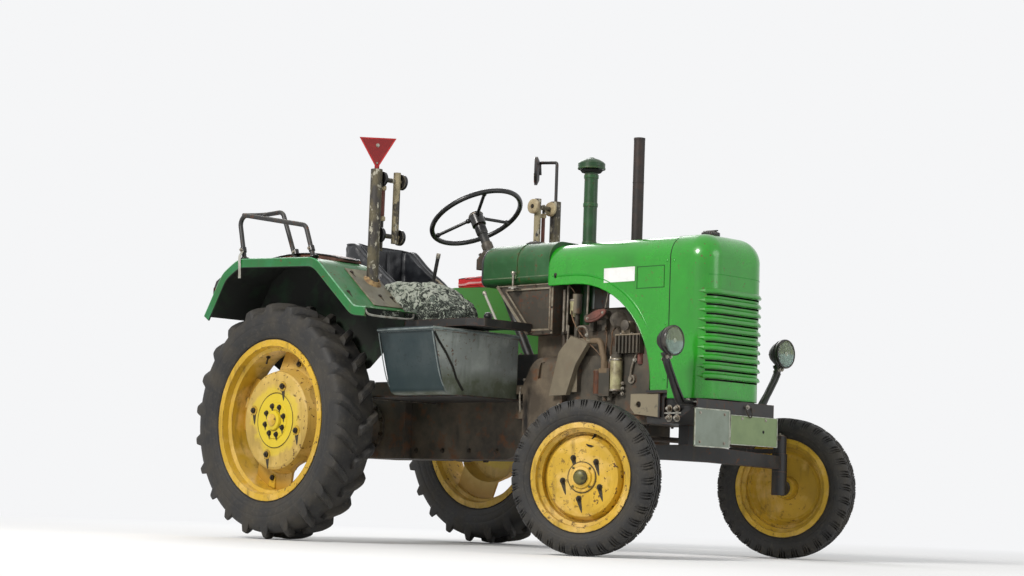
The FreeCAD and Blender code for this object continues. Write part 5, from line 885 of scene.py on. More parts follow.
def rear_trim(side, sign):
    kit = Kit(f"RearWheelFixings.{side}", f"rear_wheel_{side}", "wheel_yellow", rear_frame(sign))
    for lobe in (16.6, 106.6, 196.6, 286.6):
        angle = math.radians(lobe) * sign
        for radius, plane, flats in ((165, 55, 24), (276, -14, 23)):
            at = on_wheel(angle, plane, radius)
            kit.turned("wheel_yellow", at, AXLE, [(flats * 0.95, 0), (flats * 0.95, 2.4), (flats * 0.6, 3)],
                       24)
            kit.bolt("grimy_steel", at + Vector((0, 2.5, 0)), AXLE, flats, 11, False, 0.4)
            kit.turned("grimy_steel", at + Vector((0, 12, 0)), AXLE, [(6.2, 0), (6.2, 6), (4.8, 7.5)], 16)
            if plane > 0:
                # Dark drops down from the outer lobe bolts: painted shadows cast by the bolts, partly stain.
                drip_and_shadow(kit, "stain_and_shadow", at + Vector((0, 0.1, -2)), 0.35, 66, 15, 0.12 * sign)
                drip_and_shadow(kit, "stain_and_shadow", at + Vector((-10 * sign, 0.1, 12)), 0.35, 34, 8, -0.25 * sign)
        # Bracket that clamps the lobe to the rim
        foot = on_wheel(angle, -20, 322)
        tangent = on_wheel(angle + math.pi / 2, 0, 1)
        inward = on_wheel(angle, 0, -1)
        corners = [foot - tangent * 26, foot + tangent * 26, foot + tangent * 18 + inward * 62,
                   foot - tangent * 18 + inward * 62]
        kit.slab("wheel_yellow", corners, (0, 7, 0), 1.5)
    for k in range(8):
        at = on_wheel(math.pi * (k + 0.35) / 4, 60, 68)
        kit.bolt("grimy_steel", at, AXLE, 18, 10, True, k * 0.3)
        kit.turned("grimy_steel", at + Vector((0, 8.5, 0)), AXLE, [(4.6, 0), (4.6, 4.5), (3.6, 5.5)], 12)
        drip_and_shadow(kit, "stain_and_shadow", at + Vector((0, 0.1, -3)), 0.3, 26, 8, 0.06 * sign)
    # Centre cap, dust groove round the hub plate and the valve
    kit.turned("wheel_yellow", (0, 74, 0), AXLE, [(29, 0), (29, 2.5), (24, 5.5), (14, 7.5), (0, 8.2)], 40)
    kit.turned("grimy_steel", (0, 55.02, 0), AXLE, [(125.5, 0), (125.5, 0.5), (128.6, 0.5), (128.6, 0)], 96,
               True)
    kit.turned("stain_and_shadow", (0, 60.02, 0), AXLE, [(46.5, 0), (46.5, 0.5), (49.5, 0.5), (49.5, 0)], 64, True)
    valve_at = -math.radians(21) * sign
    valve = on_wheel(valve_at, 20, 323)
    inward = on_wheel(valve_at, 0, -1)
    kit.turned("grimy_steel", valve, inward + Vector((0, 0.55, 0)),
               [(11, 0), (11, 3), (6, 4), (5, 10), (4, 30), (5, 31), (5, 40), (3, 42)], 18)
    kit.done(bevel=0.5)


def front_trim(side, sign):
    kit = Kit(f"FrontWheelFixings.{side}", f"front_wheel_{side}", "wheel_yellow", front_frame(sign))
    for k in range(5):
        turned_by = -sign * math.radians(28.4 - 72 * k)
        at = on_wheel(turned_by, 34, 87)
        kit.turned("stain_and_shadow", at, AXLE, [(13, 0), (13, 0.6), (9, 0.8)], 20)
        kit.bolt("grimy_steel", at + Vector((0, 0.5, 0)), AXLE, 17, 10, False, k)
        kit.turned("grimy_steel", at + Vector((0, 10, 0)), AXLE, [(5.2, 0), (5.2, 5), (4, 6.4)], 14)
        drip_and_shadow(kit, "stain_and_shadow", at + Vector((0, 0.1, -3)), 0.35, 54, 11, 0.28 * sign)
    kit.turned("stain_and_shadow", (0, 34.02, 0), AXLE, [(58.5, 0), (58.5, 3), (63.5, 3), (63.5, 0)], 72, True)
    kit.turned("hub_olive", (0, 50, 0), AXLE, [(31, 0), (31, 3), (28, 8), (21, 13), (12, 16), (0, 17)], 40)
    for k in range(4):
        turned_by = math.pi / 4 + k * math.pi / 2
        at = on_wheel(turned_by, 40, 52)
        kit.bolt("hub_olive", at, AXLE, 9, 5, False, k * 0.5)
    # Valve slot in the disc's edge, with the valve inside
    slot_at = math.radians(13.3) * sign
    # The slot is drawn as a dark disc: painted shade.
    kit.turned("hollow_black", on_wheel(slot_at, 26.2, 148), on_wheel(slot_at, 1.9, 1),
               [(25, 0), (25, 0.6), (0, 0.6)], 28)
    inward = on_wheel(slot_at, 0, -1)
    kit.turned("grimy_steel", on_wheel(slot_at, 8, 182), inward + Vector((0, 0.7, 0)),
               [(8, 0), (8, 3), (4.5, 4), (3.5, 24), (4.5, 25), (4.5, 33), (3, 34)], 14)
    kit.done(bevel=0.5)


for wheel_side, wheel_sign in SIDES:
    rear_tyre(wheel_side, wheel_sign)
    front_tyre(wheel_side, wheel_sign)
    rear_trim(wheel_side, wheel_sign)
    front_trim(wheel_side, wheel_sign)


# Hood, lamps and plates


def hood_outline(out=0.0, low=700, steps=10):
    """Points over the hood from the right side to the left, standing out from its skin."""
    half, top, radius = HOOD_SIDE + out, HOOD_TOP + out, 105 + out
    points = [(-half, low), (-half, (low + top - radius) / 2), (-half, top - radius)]
    for k in range(1, steps):
        angle = math.pi / 2 * k / steps
        points.append((-half + radius - radius * math.cos(angle), top - radius + radius * math.sin(angle)))
    points += [(-half + radius, top), (-half / 3, top), (0, top)]
    return points + [(-y, z) for y, z in points[-2::-1]]


def border(x0, x1, z0, z1, wide):
    """The four bars of a flat frame, each by its low and its high corner."""
    return (((x0, z0), (x1, z0 + wide)), ((x0, z1 - wide), (x1, z1)),
            ((x0, z0), (x0 + wide, z1)), ((x1 - wide, z0), (x1, z1)))


def hood_trim():
    kit = Kit("HoodTrim", "chassis", "bright_green")
    # Joint strip between cowl and bonnet, and the bonnet's rear edge
    for x, wide, look in ((1925, 2.2, "hollow_black"), (1216, 3, "hood_green_edge")):
        line = [(x, y, z) for y, z in hood_outline(0.1, 706 if x > 1900 else 1180)]
        kit.ribbon(look, line, (wide, 0, 0), 0.9)
    for sign in (-1, 1):
        skin = sign * HOOD_SIDE
        # Swage along the arch
        path = [(1232, 1217), (1300, 1217), (1375, 1217)]
        path += [(1375 + 495 * math.sin(a), 722 + 495 * math.cos(a))
                 for a in (math.radians(4 * k) for k in range(1, 18))]
        rings = []
        for k, (x, z) in enumerate(path):
            share = min(1.0, (len(path) - 1 - k) / 5, (k + 1) / 2)
            run = heading(path, k)
            side = Vector((-run.y, 0, run.x))
            at = Vector((x, skin, z))
            rings.append([at + side * across * share + Vector((0, sign * up * share - sign * 0.4, 0))
                          for across, up in ((-7, -0.6), (-5, 0.6), (-2, 2.0), (1, 2.2), (4, 1.2),
                                             (8, -0.6))])
        kit.rings("hood_green_edge", rings)
        # Rolled edge of the arch
        edge = [(1220, skin - sign * 1.5, 1177), (1375, skin - sign * 1.5, 1177)]
        edge += [(1375 + 455 * math.sin(a), skin - sign * 1.5, 722 + 455 * math.cos(a))
                 for a in (math.radians(6 * k) for k in range(1, 16))] + [(1830, skin - sign * 1.5, 708)]
        edge = [Vector(point) for point in edge]
        bead = []
        for k, point in enumerate(edge):
            up = heading(edge, k).cross(Vector(LEFT))
            bead.append([point + up * 2.6 * math.cos(a) + Vector((0, 2.6 * math.sin(a), 0))
                         for a in (math.pi / 4 * j for j in range(8))])
        kit.rings("hood_green_edge", bead)
        # Bare panel with a raised frame
        x0, x1, z0, z1 = 1738, 1894, 1136, 1232
        out = Vector((0, sign, 0))
        for low, high in border(x0, x1, z0, z1, 3):
            kit.box("hood_green_line", (low[0], skin, low[1]),
                    (high[0], skin + sign * 1.4, high[1]), 0.5)
        # Catch and screws at the bonnet's rear corner
        kit.turned("grimy_steel", (1256, skin, 1222), out, [(9, 0), (9, 1.5), (6, 4), (2, 5)], 20)
        kit.box("hollow_black", (1253, skin, 1208), (1259, skin + sign * 6, 1226), 1)
        for x, z in ((1905, 745), (1905, 860), (1905, 980), (1905, 1248), (1945, 745), (1945, 1248)):
            kit.turned("hood_green_edge", (x, skin, z), out, [(5.5, 0), (5.2, 1.2), (3, 2.4), (0, 2.7)], 16)
    # White plate, bare
    kit.box("white_plate", (1548, -206.4, 1171), (1726, -204.9, 1234), 0.6)
    # Lower edge of the cowl, from its right side round the front to its left
    cowl_edge = []
    for k in range(41):
        share = k / 40
        if share < 0.25:
            cowl_edge.append((1930 + 105 * share / 0.25, -203.5))
        elif share < 0.35:
            a = (share - 0.25) / 0.1 * math.pi / 2
            cowl_edge.append((2035 + 93.5 * math.sin(a), -110 - 93.5 * math.cos(a)))
        elif share <= 0.65:
            cowl_edge.append((2128.5, -110 + 220 * (share - 0.35) / 0.3))
        elif share < 0.75:
            a = (share - 0.65) / 0.1 * math.pi / 2
            cowl_edge.append((2035 + 93.5 * math.cos(a), 110 + 93.5 * math.sin(a)))
        else:
            cowl_edge.append((2035 - 105 * (share - 0.75) / 0.25, 203.5))
    kit.ribbon("hood_green_edge", [(x, y, 667.5) for x, y in cowl_edge], (0, 0, 3), 4.2)
    # Light crease over the louvres, following the cowl's face round
    crease = [(2035 + 95.5 * math.sin(a), -110 - 95.5 * math.cos(a), 1178 + 8 * math.sin(a)) for a in
              (math.radians(50 + 4 * k) for k in range(11))]
    crease += [(2130.6, -100 + 20 * k, 1187) for k in range(11)]
    crease += [(2035 + 95.5 * math.sin(a), 110 + 95.5 * math.cos(a), 1178 + 8 * math.sin(a)) for a in
               (math.radians(90 - 4 * k) for k in range(11))]
    kit.ribbon("hood_green_edge", crease, (0, 0, 1.6), 1.2)
    kit.done()


def lamps():
    kit = Kit("HeadlampOptics", "chassis", "lens")
    trim = Kit("HeadlampTrim", "chassis", "black_iron")
    ray = Vector(AHEAD)
    for sign in (-1, 1):
        face = Vector((2100, sign * 375, 890))
        # The bowl's upper half olive and its lower half pale blue: a painted reflection.
        for look, start in (("lamp_upper", 0), ("lamp_lower", math.pi)):
            turn = [start + math.pi * k / 24 for k in range(25)]
            rings = [[face + Vector((height, radius * math.cos(a), radius * math.sin(a))) for a in turn]
                     for radius, height in ((56, 0.6), (50, 0.4), (40, 0.3), (26, 0.2), (12, 0.2), (1, 0.2))]
            kit.rings(look, rings, open_ring=True)
        kit.turned("bulb_glass", face, ray, [(9, 0.4), (9, 2), (6, 4), (5.5, 7), (3, 8.6), (0, 9)], 20)
        # Domed glass with upright flutes
        rings = []
        steps = 96
        for radius, height in ((57, 0.4), (57, 3.6), (54, 5.0), (47, 6.8), (40, 8.4), (32, 9.8), (24, 10.9),
                               (16, 11.7), (8, 12.2), (1.5, 12.4)):
            ring = []
            for k in range(steps):
                a = 2 * math.pi * k / steps
                y, z = radius * math.cos(a), radius * math.sin(a)
                flute = 0.35 * math.cos(y * 2 * math.pi / 8.5) if 8 < radius < 52 else 0
                ring.append(face + Vector((height + flute, y, z)))
            rings.append(ring)
        kit.rings("lens", rings)
        trim.turned("lamp_rim", face, ray, [(57.2, 3), (57.2, 5.2), (59, 6.4), (62, 5.8), (63.6, 3),
                                            (63.8, -4), (63, -9), (62, -11), (61, -11), (61, 3)], 64, True)
        for height, radius in ((-24, 57.8), (-26, 57.2)):
            trim.turned("black_gloss", face, ray,
                        [(radius, height), (radius + 1.6, height + 1), (radius, height + 2.4)], 56, True)
        # Foot of the bowl, its clamp and two bright bolts
        foot = face + Vector((-40, 0, -62))
        trim.turned("black_gloss", foot + Vector((0, 0, 12)), DOWN, [(22, 0), (21, 10), (15, 18), (13, 30)],
                    28)
        for shift in (-13, 13):
            trim.bolt("zinc_bolt", foot + Vector((14, shift * 0.8, -4)), AHEAD, 13, 8)
        trim.bolt("zinc_bolt", foot + Vector((-14, 0, -14)), BACK, 12, 8)
        trim.turned("black_gloss", face + Vector((-75.5, 0, 0)), BACK,
                    [(9, 0), (8, 4), (5, 6), (4.5, 14), (0, 15)], 20)
    # Straps of the lamp arms, flat on the round arms
    for sign in (-1, 1):
        strap = [(2050, sign * 200, 646), (2052, sign * 262, 648), (2056, sign * 312, 712),
                 (2059, sign * 352, 772), (2060, sign * 371, 806)]
        trim.ribbon("black_gloss", strap, (19, 0, 0), 8)
        trim.bolt("zinc_bolt", (2050, sign * 216, 652), UP, 15, 9)
    trim.done(bevel=0.5)
    glass = kit.done(sharp=50)
    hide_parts("headlamp_glasses")


def plates():
    kit = Kit("PlateTrim", "chassis", "plate_paint")
    x = 2150.2
    for y0, y1, z0, z1, look, rim in ((-290, -62, 460, 620, "square_plate", 5),
                                      (-58, 262, 478, 603, "wide_plate", 3)):
        kit.box(look, (x, y0 + 1, z0 + 1), (x + 0.8, y1 - 1, z1 - 1), 0.3)
        for low, high in border(y0, y1, z0, z1, rim):
            kit.box("plate_edge", (x, low[0], low[1]), (x + 2.4, high[0], high[1]), 0.8)
    for y, z in ((-255, 600), (-97, 600), (-255, 480), (-97, 480), (20, 590), (180, 590)):
        kit.bolt("zinc_bolt", (x + 0.8, y, z), AHEAD, 9, 5)
    # A dark disc for a hole in the wide plate: painted shade.
    kit.turned("hollow_black", (x + 0.7, 166, 540), AHEAD, [(7, 0), (7, 0.6), (0, 0.6)], 20)
    # Bent wire and hook over the wide plate
    kit.pipe("grimy_steel", [(2140, 35, 655), (2158, 38, 625), (2160, 55, 596), (2159, 74, 596),
                             (2156, 84, 622), (2140, 84, 650)], 2.6)
    kit.box("black_gloss", (2122, 20, 618), (2146, 100, 660), 3)
    kit.bolt("zinc_bolt", (2146, 60, 640), AHEAD, 13, 8)
    kit.done(bevel=0.4)


hood_trim()
lamps()
plates()


# Engine bay, tank, dash and pipes


def coil(kit, look, at, axis, radius, thick, turns, pitch):
    """Rings side by side along an axis, such as a bellows or a ribbed cover."""
    axis = Vector(axis).normalized()
    for k in range(turns):
        middle = Vector(at) + axis * (k * pitch)
        kit.turned(look, middle, axis, [(radius - thick, -thick), (radius - thick * 0.3, -thick * 0.8),
                                        (radius, 0), (radius - thick * 0.3, thick * 0.8),
                                        (radius - thick, thick)], 28)


def engine_trim():
    kit = Kit("EngineFixings", "chassis", "casting")
    # Tilted oval cover with its rim, over the head
    tilt = math.radians(-14)
    centre = Vector((1487, -176, 1032))
    for look, grow, out, deep in (("rust_red", 1.0, 0, 10), ("grimy_steel", 1.07, 3, 4),
                                  ("rust_red", 0.62, -9, 4)):
        outline = []
        for k in range(32):
            a = 2 * math.pi * k / 32
            u, v = 62 * grow * math.cos(a), 25 * grow * math.sin(a)
            outline.append(centre + Vector((u * math.cos(tilt) - v * math.sin(tilt), out - 4,
                                            -u * math.sin(tilt) + v * math.cos(tilt))))
        kit.slab(look, outline, (0, -deep, 0), 2)
    for u in (-46, 46):
        kit.bolt("zinc_bolt", centre + Vector((u * math.cos(tilt), -14, -u * math.sin(tilt))), RIGHT, 9, 5)
    # Round ribbed pot beside it, on a bracket from the head
    coil(kit, "oily_grey", (1592, -158, 1010), (0.85, -0.5, 0.1), 35, 6, 4, 11)
    kit.turned("oily_grey", (1575, -128, 1004), (0.6, -0.8, 0.1), [(18, -6), (26, 10), (30, 26), (20, 30)],
               32)
    kit.turned("oily_grey", (1650, -155, 985), RIGHT, [(16, 0), (16, 14), (24, 16), (24, 22), (12, 26)], 28)
    # Cream bowl under the tank with its cap and tap
    kit.turned("cream_paint", (1338, -159, 1042), UP,
               [(8, -8), (15, 0), (21.5, 8), (22, 50), (23.5, 52), (23.5, 60), (17, 62)], 32)
    kit.turned("zinc_bolt", (1338, -159, 1104), UP, [(25, 0), (25, 7), (12, 11), (7, 12), (7, 22)], 28)
    kit.bolt("zinc_bolt", (1338, -159, 1126), UP, 12, 7)
    kit.pipe("copper_pipe", [(1338, -159, 1132), (1338, -168, 1150), (1318, -176, 1172), (1300, -170, 1188)],
             3.4)
    kit.pipe("copper_pipe", [(1338, -180, 1060), (1352, -196, 1040), (1380, -196, 985), (1430, -190, 930),
                             (1500, -188, 880), (1545, -185, 836)], 3.2)
    # Push rods and stays that stand beside the head
    for x0, z0, x1, z1, radius in ((1403, 1036, 1405, 1176, 5), (1508, 1060, 1534, 1178, 4),
                                   (1285, 852, 1293, 1000, 5.5), (1262, 962, 1262, 1160, 7),
                                   (1283, 966, 1283, 1176, 5)):
        kit.pipe("dusty_steel", [(x0, -148, z0), ((x0 + x1) / 2, -148, (z0 + z1) / 2), (x1, -148, z1)],
                 radius)
        kit.turned("grimy_steel", (x0, -148, z0), UP, [(radius + 3, -5), (radius + 4, 0), (radius + 3, 8)],
                   16)
    # Injection pipes from the pump over to the head
    for k, x in enumerate((1545, 1576)):
        kit.turned("zinc_bolt", (x, -175, 828), UP, [(9, 0), (9, 10), (6, 14), (5, 24)], 16)
        kit.pipe("copper_pipe", [(x, -175, 850), (x, -178, 890), (x + 12, -182, 925), (x + 2, -178, 960),
                                 (x - 30 + 40 * k, -150, 985), (x - 40 + 40 * k, -128, 986)], 3)
    # Hose clamp and small elbow on the duct's end
    kit.pipe("dusty_steel", [(1391, -196, 972), (1400, -205, 982), (1425, -207, 986), (1447, -204, 980),
                             (1455, -197, 958), (1456, -196, 935)], 5)
    kit.bolt("zinc_bolt", (1455, -205, 946), RIGHT, 11, 6)
    # Lever linkage at the front of the bay
    kit.pipe("dusty_steel", [(1737, -152, 930), (1716, -156, 880), (1695, -160, 832), (1682, -162, 792),
                             (1678, -160, 758)], 5.5)
    kit.turned("dusty_steel", (1684, -150, 752), RIGHT, [(19, 0), (19, 12), (9, 12), (9, 20), (0, 21)], 24)
    kit.bolt("zinc_bolt", (1700, -160, 835), RIGHT, 13, 8)
    kit.turned("rust_red", (1726, -150, 838), UP, [(13, -22), (15, -18), (15, 22), (12, 26)], 24)
    # Brown and cream cylinders of the pump with their caps
    kit.turned("brown_paint", (1504, -173, 688), UP,
               [(19, 0), (22, 6), (22, 92), (24, 96), (24, 102), (14, 106)], 32)
    kit.turned("cream_paint", (1609, -175, 700), UP, [(18, 0), (26, 8), (26.5, 138), (20, 150), (12, 154)],
               32)
    for z in (704, 836):
        kit.turned("zinc_bolt", (1609, -175, z), UP, [(28, -4), (29, 0), (28, 4)], 28)
    for z in (690, 712, 734):
        kit.bolt("zinc_bolt", (1640, -168, z), RIGHT, 11, 7)
    # Lid and screws of the ribbed block
    kit.box("dusty_beige", (1598, -178, 940.4), (1742, -126, 948), 2)
    for x in (1610, 1670, 1730):
        kit.bolt("zinc_bolt", (x, -150, 948), UP, 12, 7)
    kit.box("dusty_beige", (1618, -160, 948), (1668, -130, 1004), 5)
    # Bolts: bell housing rim, sump flange, rocker cover, side covers
    for sign in (-1, 1):
        for k in range(6):
            kit.bolt("dusty_steel", (1274, sign * 175, 520 + 62 * k), (0, sign, 0), 13, 8)
        for k in range(7):
            kit.bolt("grimy_steel", (1320 + 72 * k, sign * 124, 559.8), DOWN, 11, 7)
        for k in range(4):
            kit.bolt("grimy_steel", (1370 + 110 * k, sign * 84, 1000), UP, 13, 9)
        for x, z in ((1330, 560), (1330, 590), (1500, 590), (1690, 590)):
            kit.bolt("grimy_steel", (x + 8, sign * (153 if sign < 0 else 145), z + 25), (0, sign, 0), 11, 6)
        # Clamp bolts of the bell housing
        for z in (605, 715):
            kit.turned("dusty_steel", (1034, sign * 148, z + 42), DOWN,
                       [(10, -10), (12, 0), (6, 2), (6, 46), (13, 48), (13, 58), (0, 60)], 20)
    kit.pipe("dusty_steel", [(1030, -172, 727), (1030, -176, 690), (1034, -176, 640), (1034, -172, 612)], 5)
    # Left side: pipes, leads' conduit and starter straps
    kit.pipe("copper_pipe", [(1760, 152, 870), (1700, 180, 900), (1560, 186, 915), (1420, 180, 900),
                             (1310, 160, 930)], 4)
    kit.pipe("dusty_steel", [(1320, 150, 880), (1400, 168, 960), (1520, 160, 985), (1640, 150, 990),
                             (1740, 135, 985)], 7)
    for x in (1340, 1400, 1470):
        kit.turned("grimy_steel", (x, 193, 650), AHEAD, [(44.3, -6), (45.6, -6), (45.6, 6), (44.3, 6)], 40,
                   True)
    kit.turned("grimy_steel", (1504, 193, 650), AHEAD, [(44, 0), (40, 6), (22, 8), (20, 16), (8, 18)], 36)
    kit.turned("black_gloss", (1640, 176, 730), LEFT,
               [(44, -30), (46, -26), (46, 26), (44, 30), (26, 32), (24, 40)], 40)
    kit.bolt("zinc_bolt", (1640, 216, 730), LEFT, 18, 9)
    # Fan and belt behind the radiator
    kit.turned("grimy_steel", (1862, 0, 930), AHEAD, [(30, -26), (46, -22), (46, -14), (40, -8), (46, -2),
                                                      (46, 6), (20, 10), (18, 26), (0, 27)], 40)
    for k in range(6):
        a = math.pi / 3 * k
        outward = Vector((0, math.cos(a), math.sin(a)))
        across = Vector((0.32, -math.sin(a) * 0.94, math.cos(a) * 0.94)) * 26
        kit.ribbon("black_gloss", [Vector((1884, 0, 930)) + outward * r for r in (22, 60, 110, 148)], across,
                   2.4)
    belt = []
    for k in range(24):
        a = 2 * math.pi * k / 24
        big = math.sin(a) >= 0
        belt.append(Vector((1850, 44 * math.cos(a), (930 if big else 750) + 44 * math.sin(a))))
    belt.append(belt[0])
    kit.ribbon("hollow_black", belt, (6, 0, 0), 7)
    kit.done(bevel=0.5)


def tank_trim():
    kit = Kit("TankTrim", "chassis", "tank_green")
    for sign in (-1, 1):
        side = sign * HOOD_SIDE
        # Seam along the tank's side, interrupted by the strap
        for x0, x1 in ((800, 988), (1018, 1213)):
            kit.box("tank_seam", (x0, side, 1219), (x1, side + sign * 2.2, 1225), 0.9)
        # Strap's clamp: lug, bolt and nuts under the tank's edge
        kit.box("tank_seam", (990, side + sign * 3, 1216), (1016, side + sign * 7, 1236), 1.5)
        kit.turned("zinc_bolt", (1003, side + sign * 12, 1240), DOWN,
                   [(9, -8), (11, 0), (5, 1), (5, 62), (10, 63), (10, 73), (0, 75)], 18)
        kit.turned("zinc_bolt", (1003, side + sign * 6, 1240), (0, sign, 0), [(10, -3), (10, 9), (4, 11)], 20)
        kit.box("bare_bracket", (980, sign * 185, 1172), (1026, sign * 222, 1180), 1.2)
        # Raised frame and flanges of the console panel
        wall = sign * CONSOLE_SIDE
        z_top, z_low = 1168, 982
        bars = ((925, z_top, 1090, z_low), (1090, z_low, 1208, z_low), (1208, z_low, 1208, z_top),
                (1208, z_top, 925, z_top))
        for x0, z0, x1, z1 in bars:
            run = Vector((x1 - x0, 0, z1 - z0)).normalized()
            side_way = run.cross(Vector(LEFT)) * 4
            kit.ribbon("bare_edge", [(x0, wall + sign * 0.4, z0),
                                     ((x0 + x1) / 2, wall + sign * 0.4, (z0 + z1) / 2),
                                     (x1, wall + sign * 0.4, z1)], side_way, 2.6)
        kit.ribbon("bare_edge", [(872, wall + sign * 1.5, 1189), (972, wall + sign * 1.5, 1075),
                                 (1075, wall + sign * 1.5, 962)], (5, 0, 4.5), 3)
        kit.box("bare_edge", (872, wall, 1184), (1229, wall + sign * 4, 1189.5), 1)
        kit.box("bare_edge", (1219, wall, 962), (1229, wall + sign * 3, 1188), 1)
        for x, z in ((900, 1182), (1004, 1182), (1120, 1182), (1224, 1174), (1224, 1080), (1224, 975),
                     (1100, 970), (1170, 970)):
            kit.turned("grimy_steel", (x, wall + sign * 2.5, z), (0, sign, 0),
                       [(5.5, 0), (5, 2.4), (2, 3.6), (0, 3.7)], 14)
    # Radiator cap's lever and knurl, tank cap's knurl and vent
    for x, z, radius in ((1972, 1373, 38), (930, 1391, 45)):
        for k in range(24):
            a = math.pi / 12 * k
            way = Vector((math.cos(a), math.sin(a), 0))
            kit.turned("black_gloss", Vector((x, 0, z + 1)) + way * (radius - 0.6), UP,
                       [(2.6, 0), (2.9, 2), (2.9, 10), (2.4, 12)], 8)
    kit.box("black_gloss", (1934, -5, 1392), (2010, 5, 1397), 1.5)
    kit.turned("black_gloss", (930, 0, 1412), UP, [(8, 0), (8, 3), (5, 5), (0, 5.5)], 18)
    kit.turned("black_gloss", (1180, -70, 1366), UP, [(20, 0), (20, 12), (22, 14), (22, 19), (10, 22)], 28)
    # Dash: two plain dials, a switch and a pilot lamp on the sloped face
    slope = Vector((-40, 0, 45)).normalized()
    slide = Vector((45, 0, 40)).normalized()
    middle = Vector((663.5, 0, 1358))
    for y, radius in ((-62, 24), (62, 24), (-98, 7), (98, 7)):
        at = middle + Vector((0, y, 0))
        kit.turned("lamp_ring", at, slope, [(radius, 0), (radius + 1.5, 2), (radius + 1, 5),
                                            (radius - 2.5, 5.5), (radius - 3, 2), (radius - 3, 0)], 40, True)
        kit.turned("dial_face" if radius > 10 else "pilot_red", at, slope,
                   [(radius - 2.8, 0), (radius - 2.8, 2), (0, 2)], 32)
        if radius > 10:
            for k in range(9):
                a = math.radians(-120 + 30 * k)
                way = slide * math.cos(a) + Vector(LEFT) * math.sin(a)
                tick = at + slope * 2.1 + way * (radius - 7)
                kit.ribbon("white_plate", [tick, tick + way * 1.5, tick + way * 3], way.cross(slope) * 0.6,
                           0.4)
            way = (slide * 0.8 - Vector((0, 0.6, 0)))
            kit.ribbon("pilot_red", [at + slope * 2.6 - way * 4, at + slope * 2.6 + way * 5,
                                     at + slope * 2.6 + way * 15], way.cross(slope) * 0.9, 0.5)
    # Column neck and steering wheel nut
    tilt = math.radians(29.8)
    down = Vector((math.sin(tilt), 0, -math.cos(tilt)))
    hub = Vector((526, 0, 1557))
    kit.turned("oily_grey", hub + down * 150, down, [(23, 0), (27, 4), (27, 34), (24, 40), (22.5, 78)], 36)
    kit.turned("black_gloss", hub + down * 52, down, [(24, 0), (28, 5), (28, 40), (24, 50)], 36)
    for k in range(4):
        kit.bolt("zinc_bolt", (900 + 60 * (k // 2) * 2, (-45 if k % 2 else 80), 885), UP, 14, 8)
    kit.done(bevel=0.4)
    top = Kit("SteeringHub", "steering_wheel", "black_plastic")
    top.turned("black_gloss", hub - down * 9, -down,
               [(34, -4), (35, 2), (32, 9), (23, 15), (10, 18), (0, 18.5)], 48)
    top.turned("zinc_bolt", hub - down * 9, -down, [(36.5, -2), (36.5, 0.6), (34, 1.6), (34, -2)], 48, True)
    for k in range(3):
        a = math.radians(90 + 120 * k)
        way = Matrix.Rotation(-tilt, 4, "Y") @ Vector((math.cos(a), math.sin(a), 0))
        for reach, radius in ((205, 11.5), (44, 12)):
            top.turned("black_gloss", hub + way * (reach - 12), way,
                       [(8.4, 0), (radius, 6), (radius, 16), (8.4, 22)], 20)
    top.done()


def pipes_trim():
    kit = Kit("PipeTrim", "chassis", "rusty_steel")
    # Exhaust: flange bolts, weld and lip of the pipe, clamp where it leaves the hood
    x = 1550
    kit.turned("exhaust_black", (x, 0, 1366.5), UP, [(26, 0), (34, 0), (34, 2.4), (28, 4), (26, 9)], 40, True)
    kit.turned("exhaust_black", (x, 0, 1836), UP, [(22, 3.9), (25.6, 3.9), (25.6, -6), (25.1, -8), (22, -6)],
               40, True)
    # A dark disc in the pipe's mouth: soot and painted shade.
    kit.turned("hollow_black", (x, 0, 1839.6), UP, [(22.5, 0), (22.5, 0.3), (0, 0.3)], 32)
    kit.turned("exhaust_black", (x, 0, 1640), UP, [(25.05, -3), (25.9, -2), (26, 0), (25.9, 2), (25.05, 3)],
               40, True)
    # Air intake: rolled rim, joint rings and the gauze under the cap
    x = 1265
    kit.turned("tank_green", (x, 0, 1724), UP, [(61, -1), (63.2, 0), (63.8, 3), (63.2, 6), (61, 7)], 56, True)
    kit.turned("tank_green", (x, 0, 1773.8), UP, [(13, 0), (12, 3), (6, 5), (0, 5.5)], 28)
    kit.turned("hollow_black", (x, 0, 1706), UP, [(31.2, 0), (44, 3), (52, 13), (31.2, 13)], 40, True)
    for z in (1384, 1560, 1690):
        kit.turned("tank_green", (x, 0, z), UP, [(31, -9), (33.4, -8), (33.8, 0), (33.4, 8), (31, 9)], 40,
                   True)
    kit.turned("tank_green", (x, 0, 1366), UP, [(31, 0), (48, 0), (48, 2.5), (36, 4), (33, 10), (31, 12)], 40,
               True)
    for k in range(3):
        a = math.radians(30 + 120 * k)
        kit.bolt("zinc_bolt", (x + 42 * math.cos(a), 42 * math.sin(a), 1368), UP, 9, 5)
    kit.done()


engine_trim()
tank_trim()
pipes_trim()


# Seat and cushions


def worked(item):
    """The mesh that an object makes with its modifiers."""
    return bpy.data.meshes.new_from_object(item.evaluated_get(bpy.context.evaluated_depsgraph_get()))


def with_normals(item):
    """A pad's vertices, each with its normal as it is before any of them moves."""
    return [(vertex, vertex.normal.copy()) for vertex in item.data.vertices]


def cut_soft(name, node, voxel, draw_in, shape):
    """A pad cut a little smaller than its solid, its underside held where it lies."""
    item = bpy.data.objects.new(name, NODES[node].data.copy())
    scene.collection.objects.link(item)
    even = item.modifiers.new("Even", "REMESH")
    even.mode = "VOXEL"
    even.voxel_size = voxel / 1000
    item.data = worked(item)
    item.modifiers.clear()
    item.data.materials.clear()
    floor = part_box(node)[0][2] + 0.004
    held = item.vertex_groups.new(name="Held")
    for vertex, normal in with_normals(item):
        if vertex.co.z < floor:
            held.add([vertex.index], 1.0, "REPLACE")
            normal.z = 0
        vertex.co = shape(vertex.co - normal * draw_in / 1000)
    return item


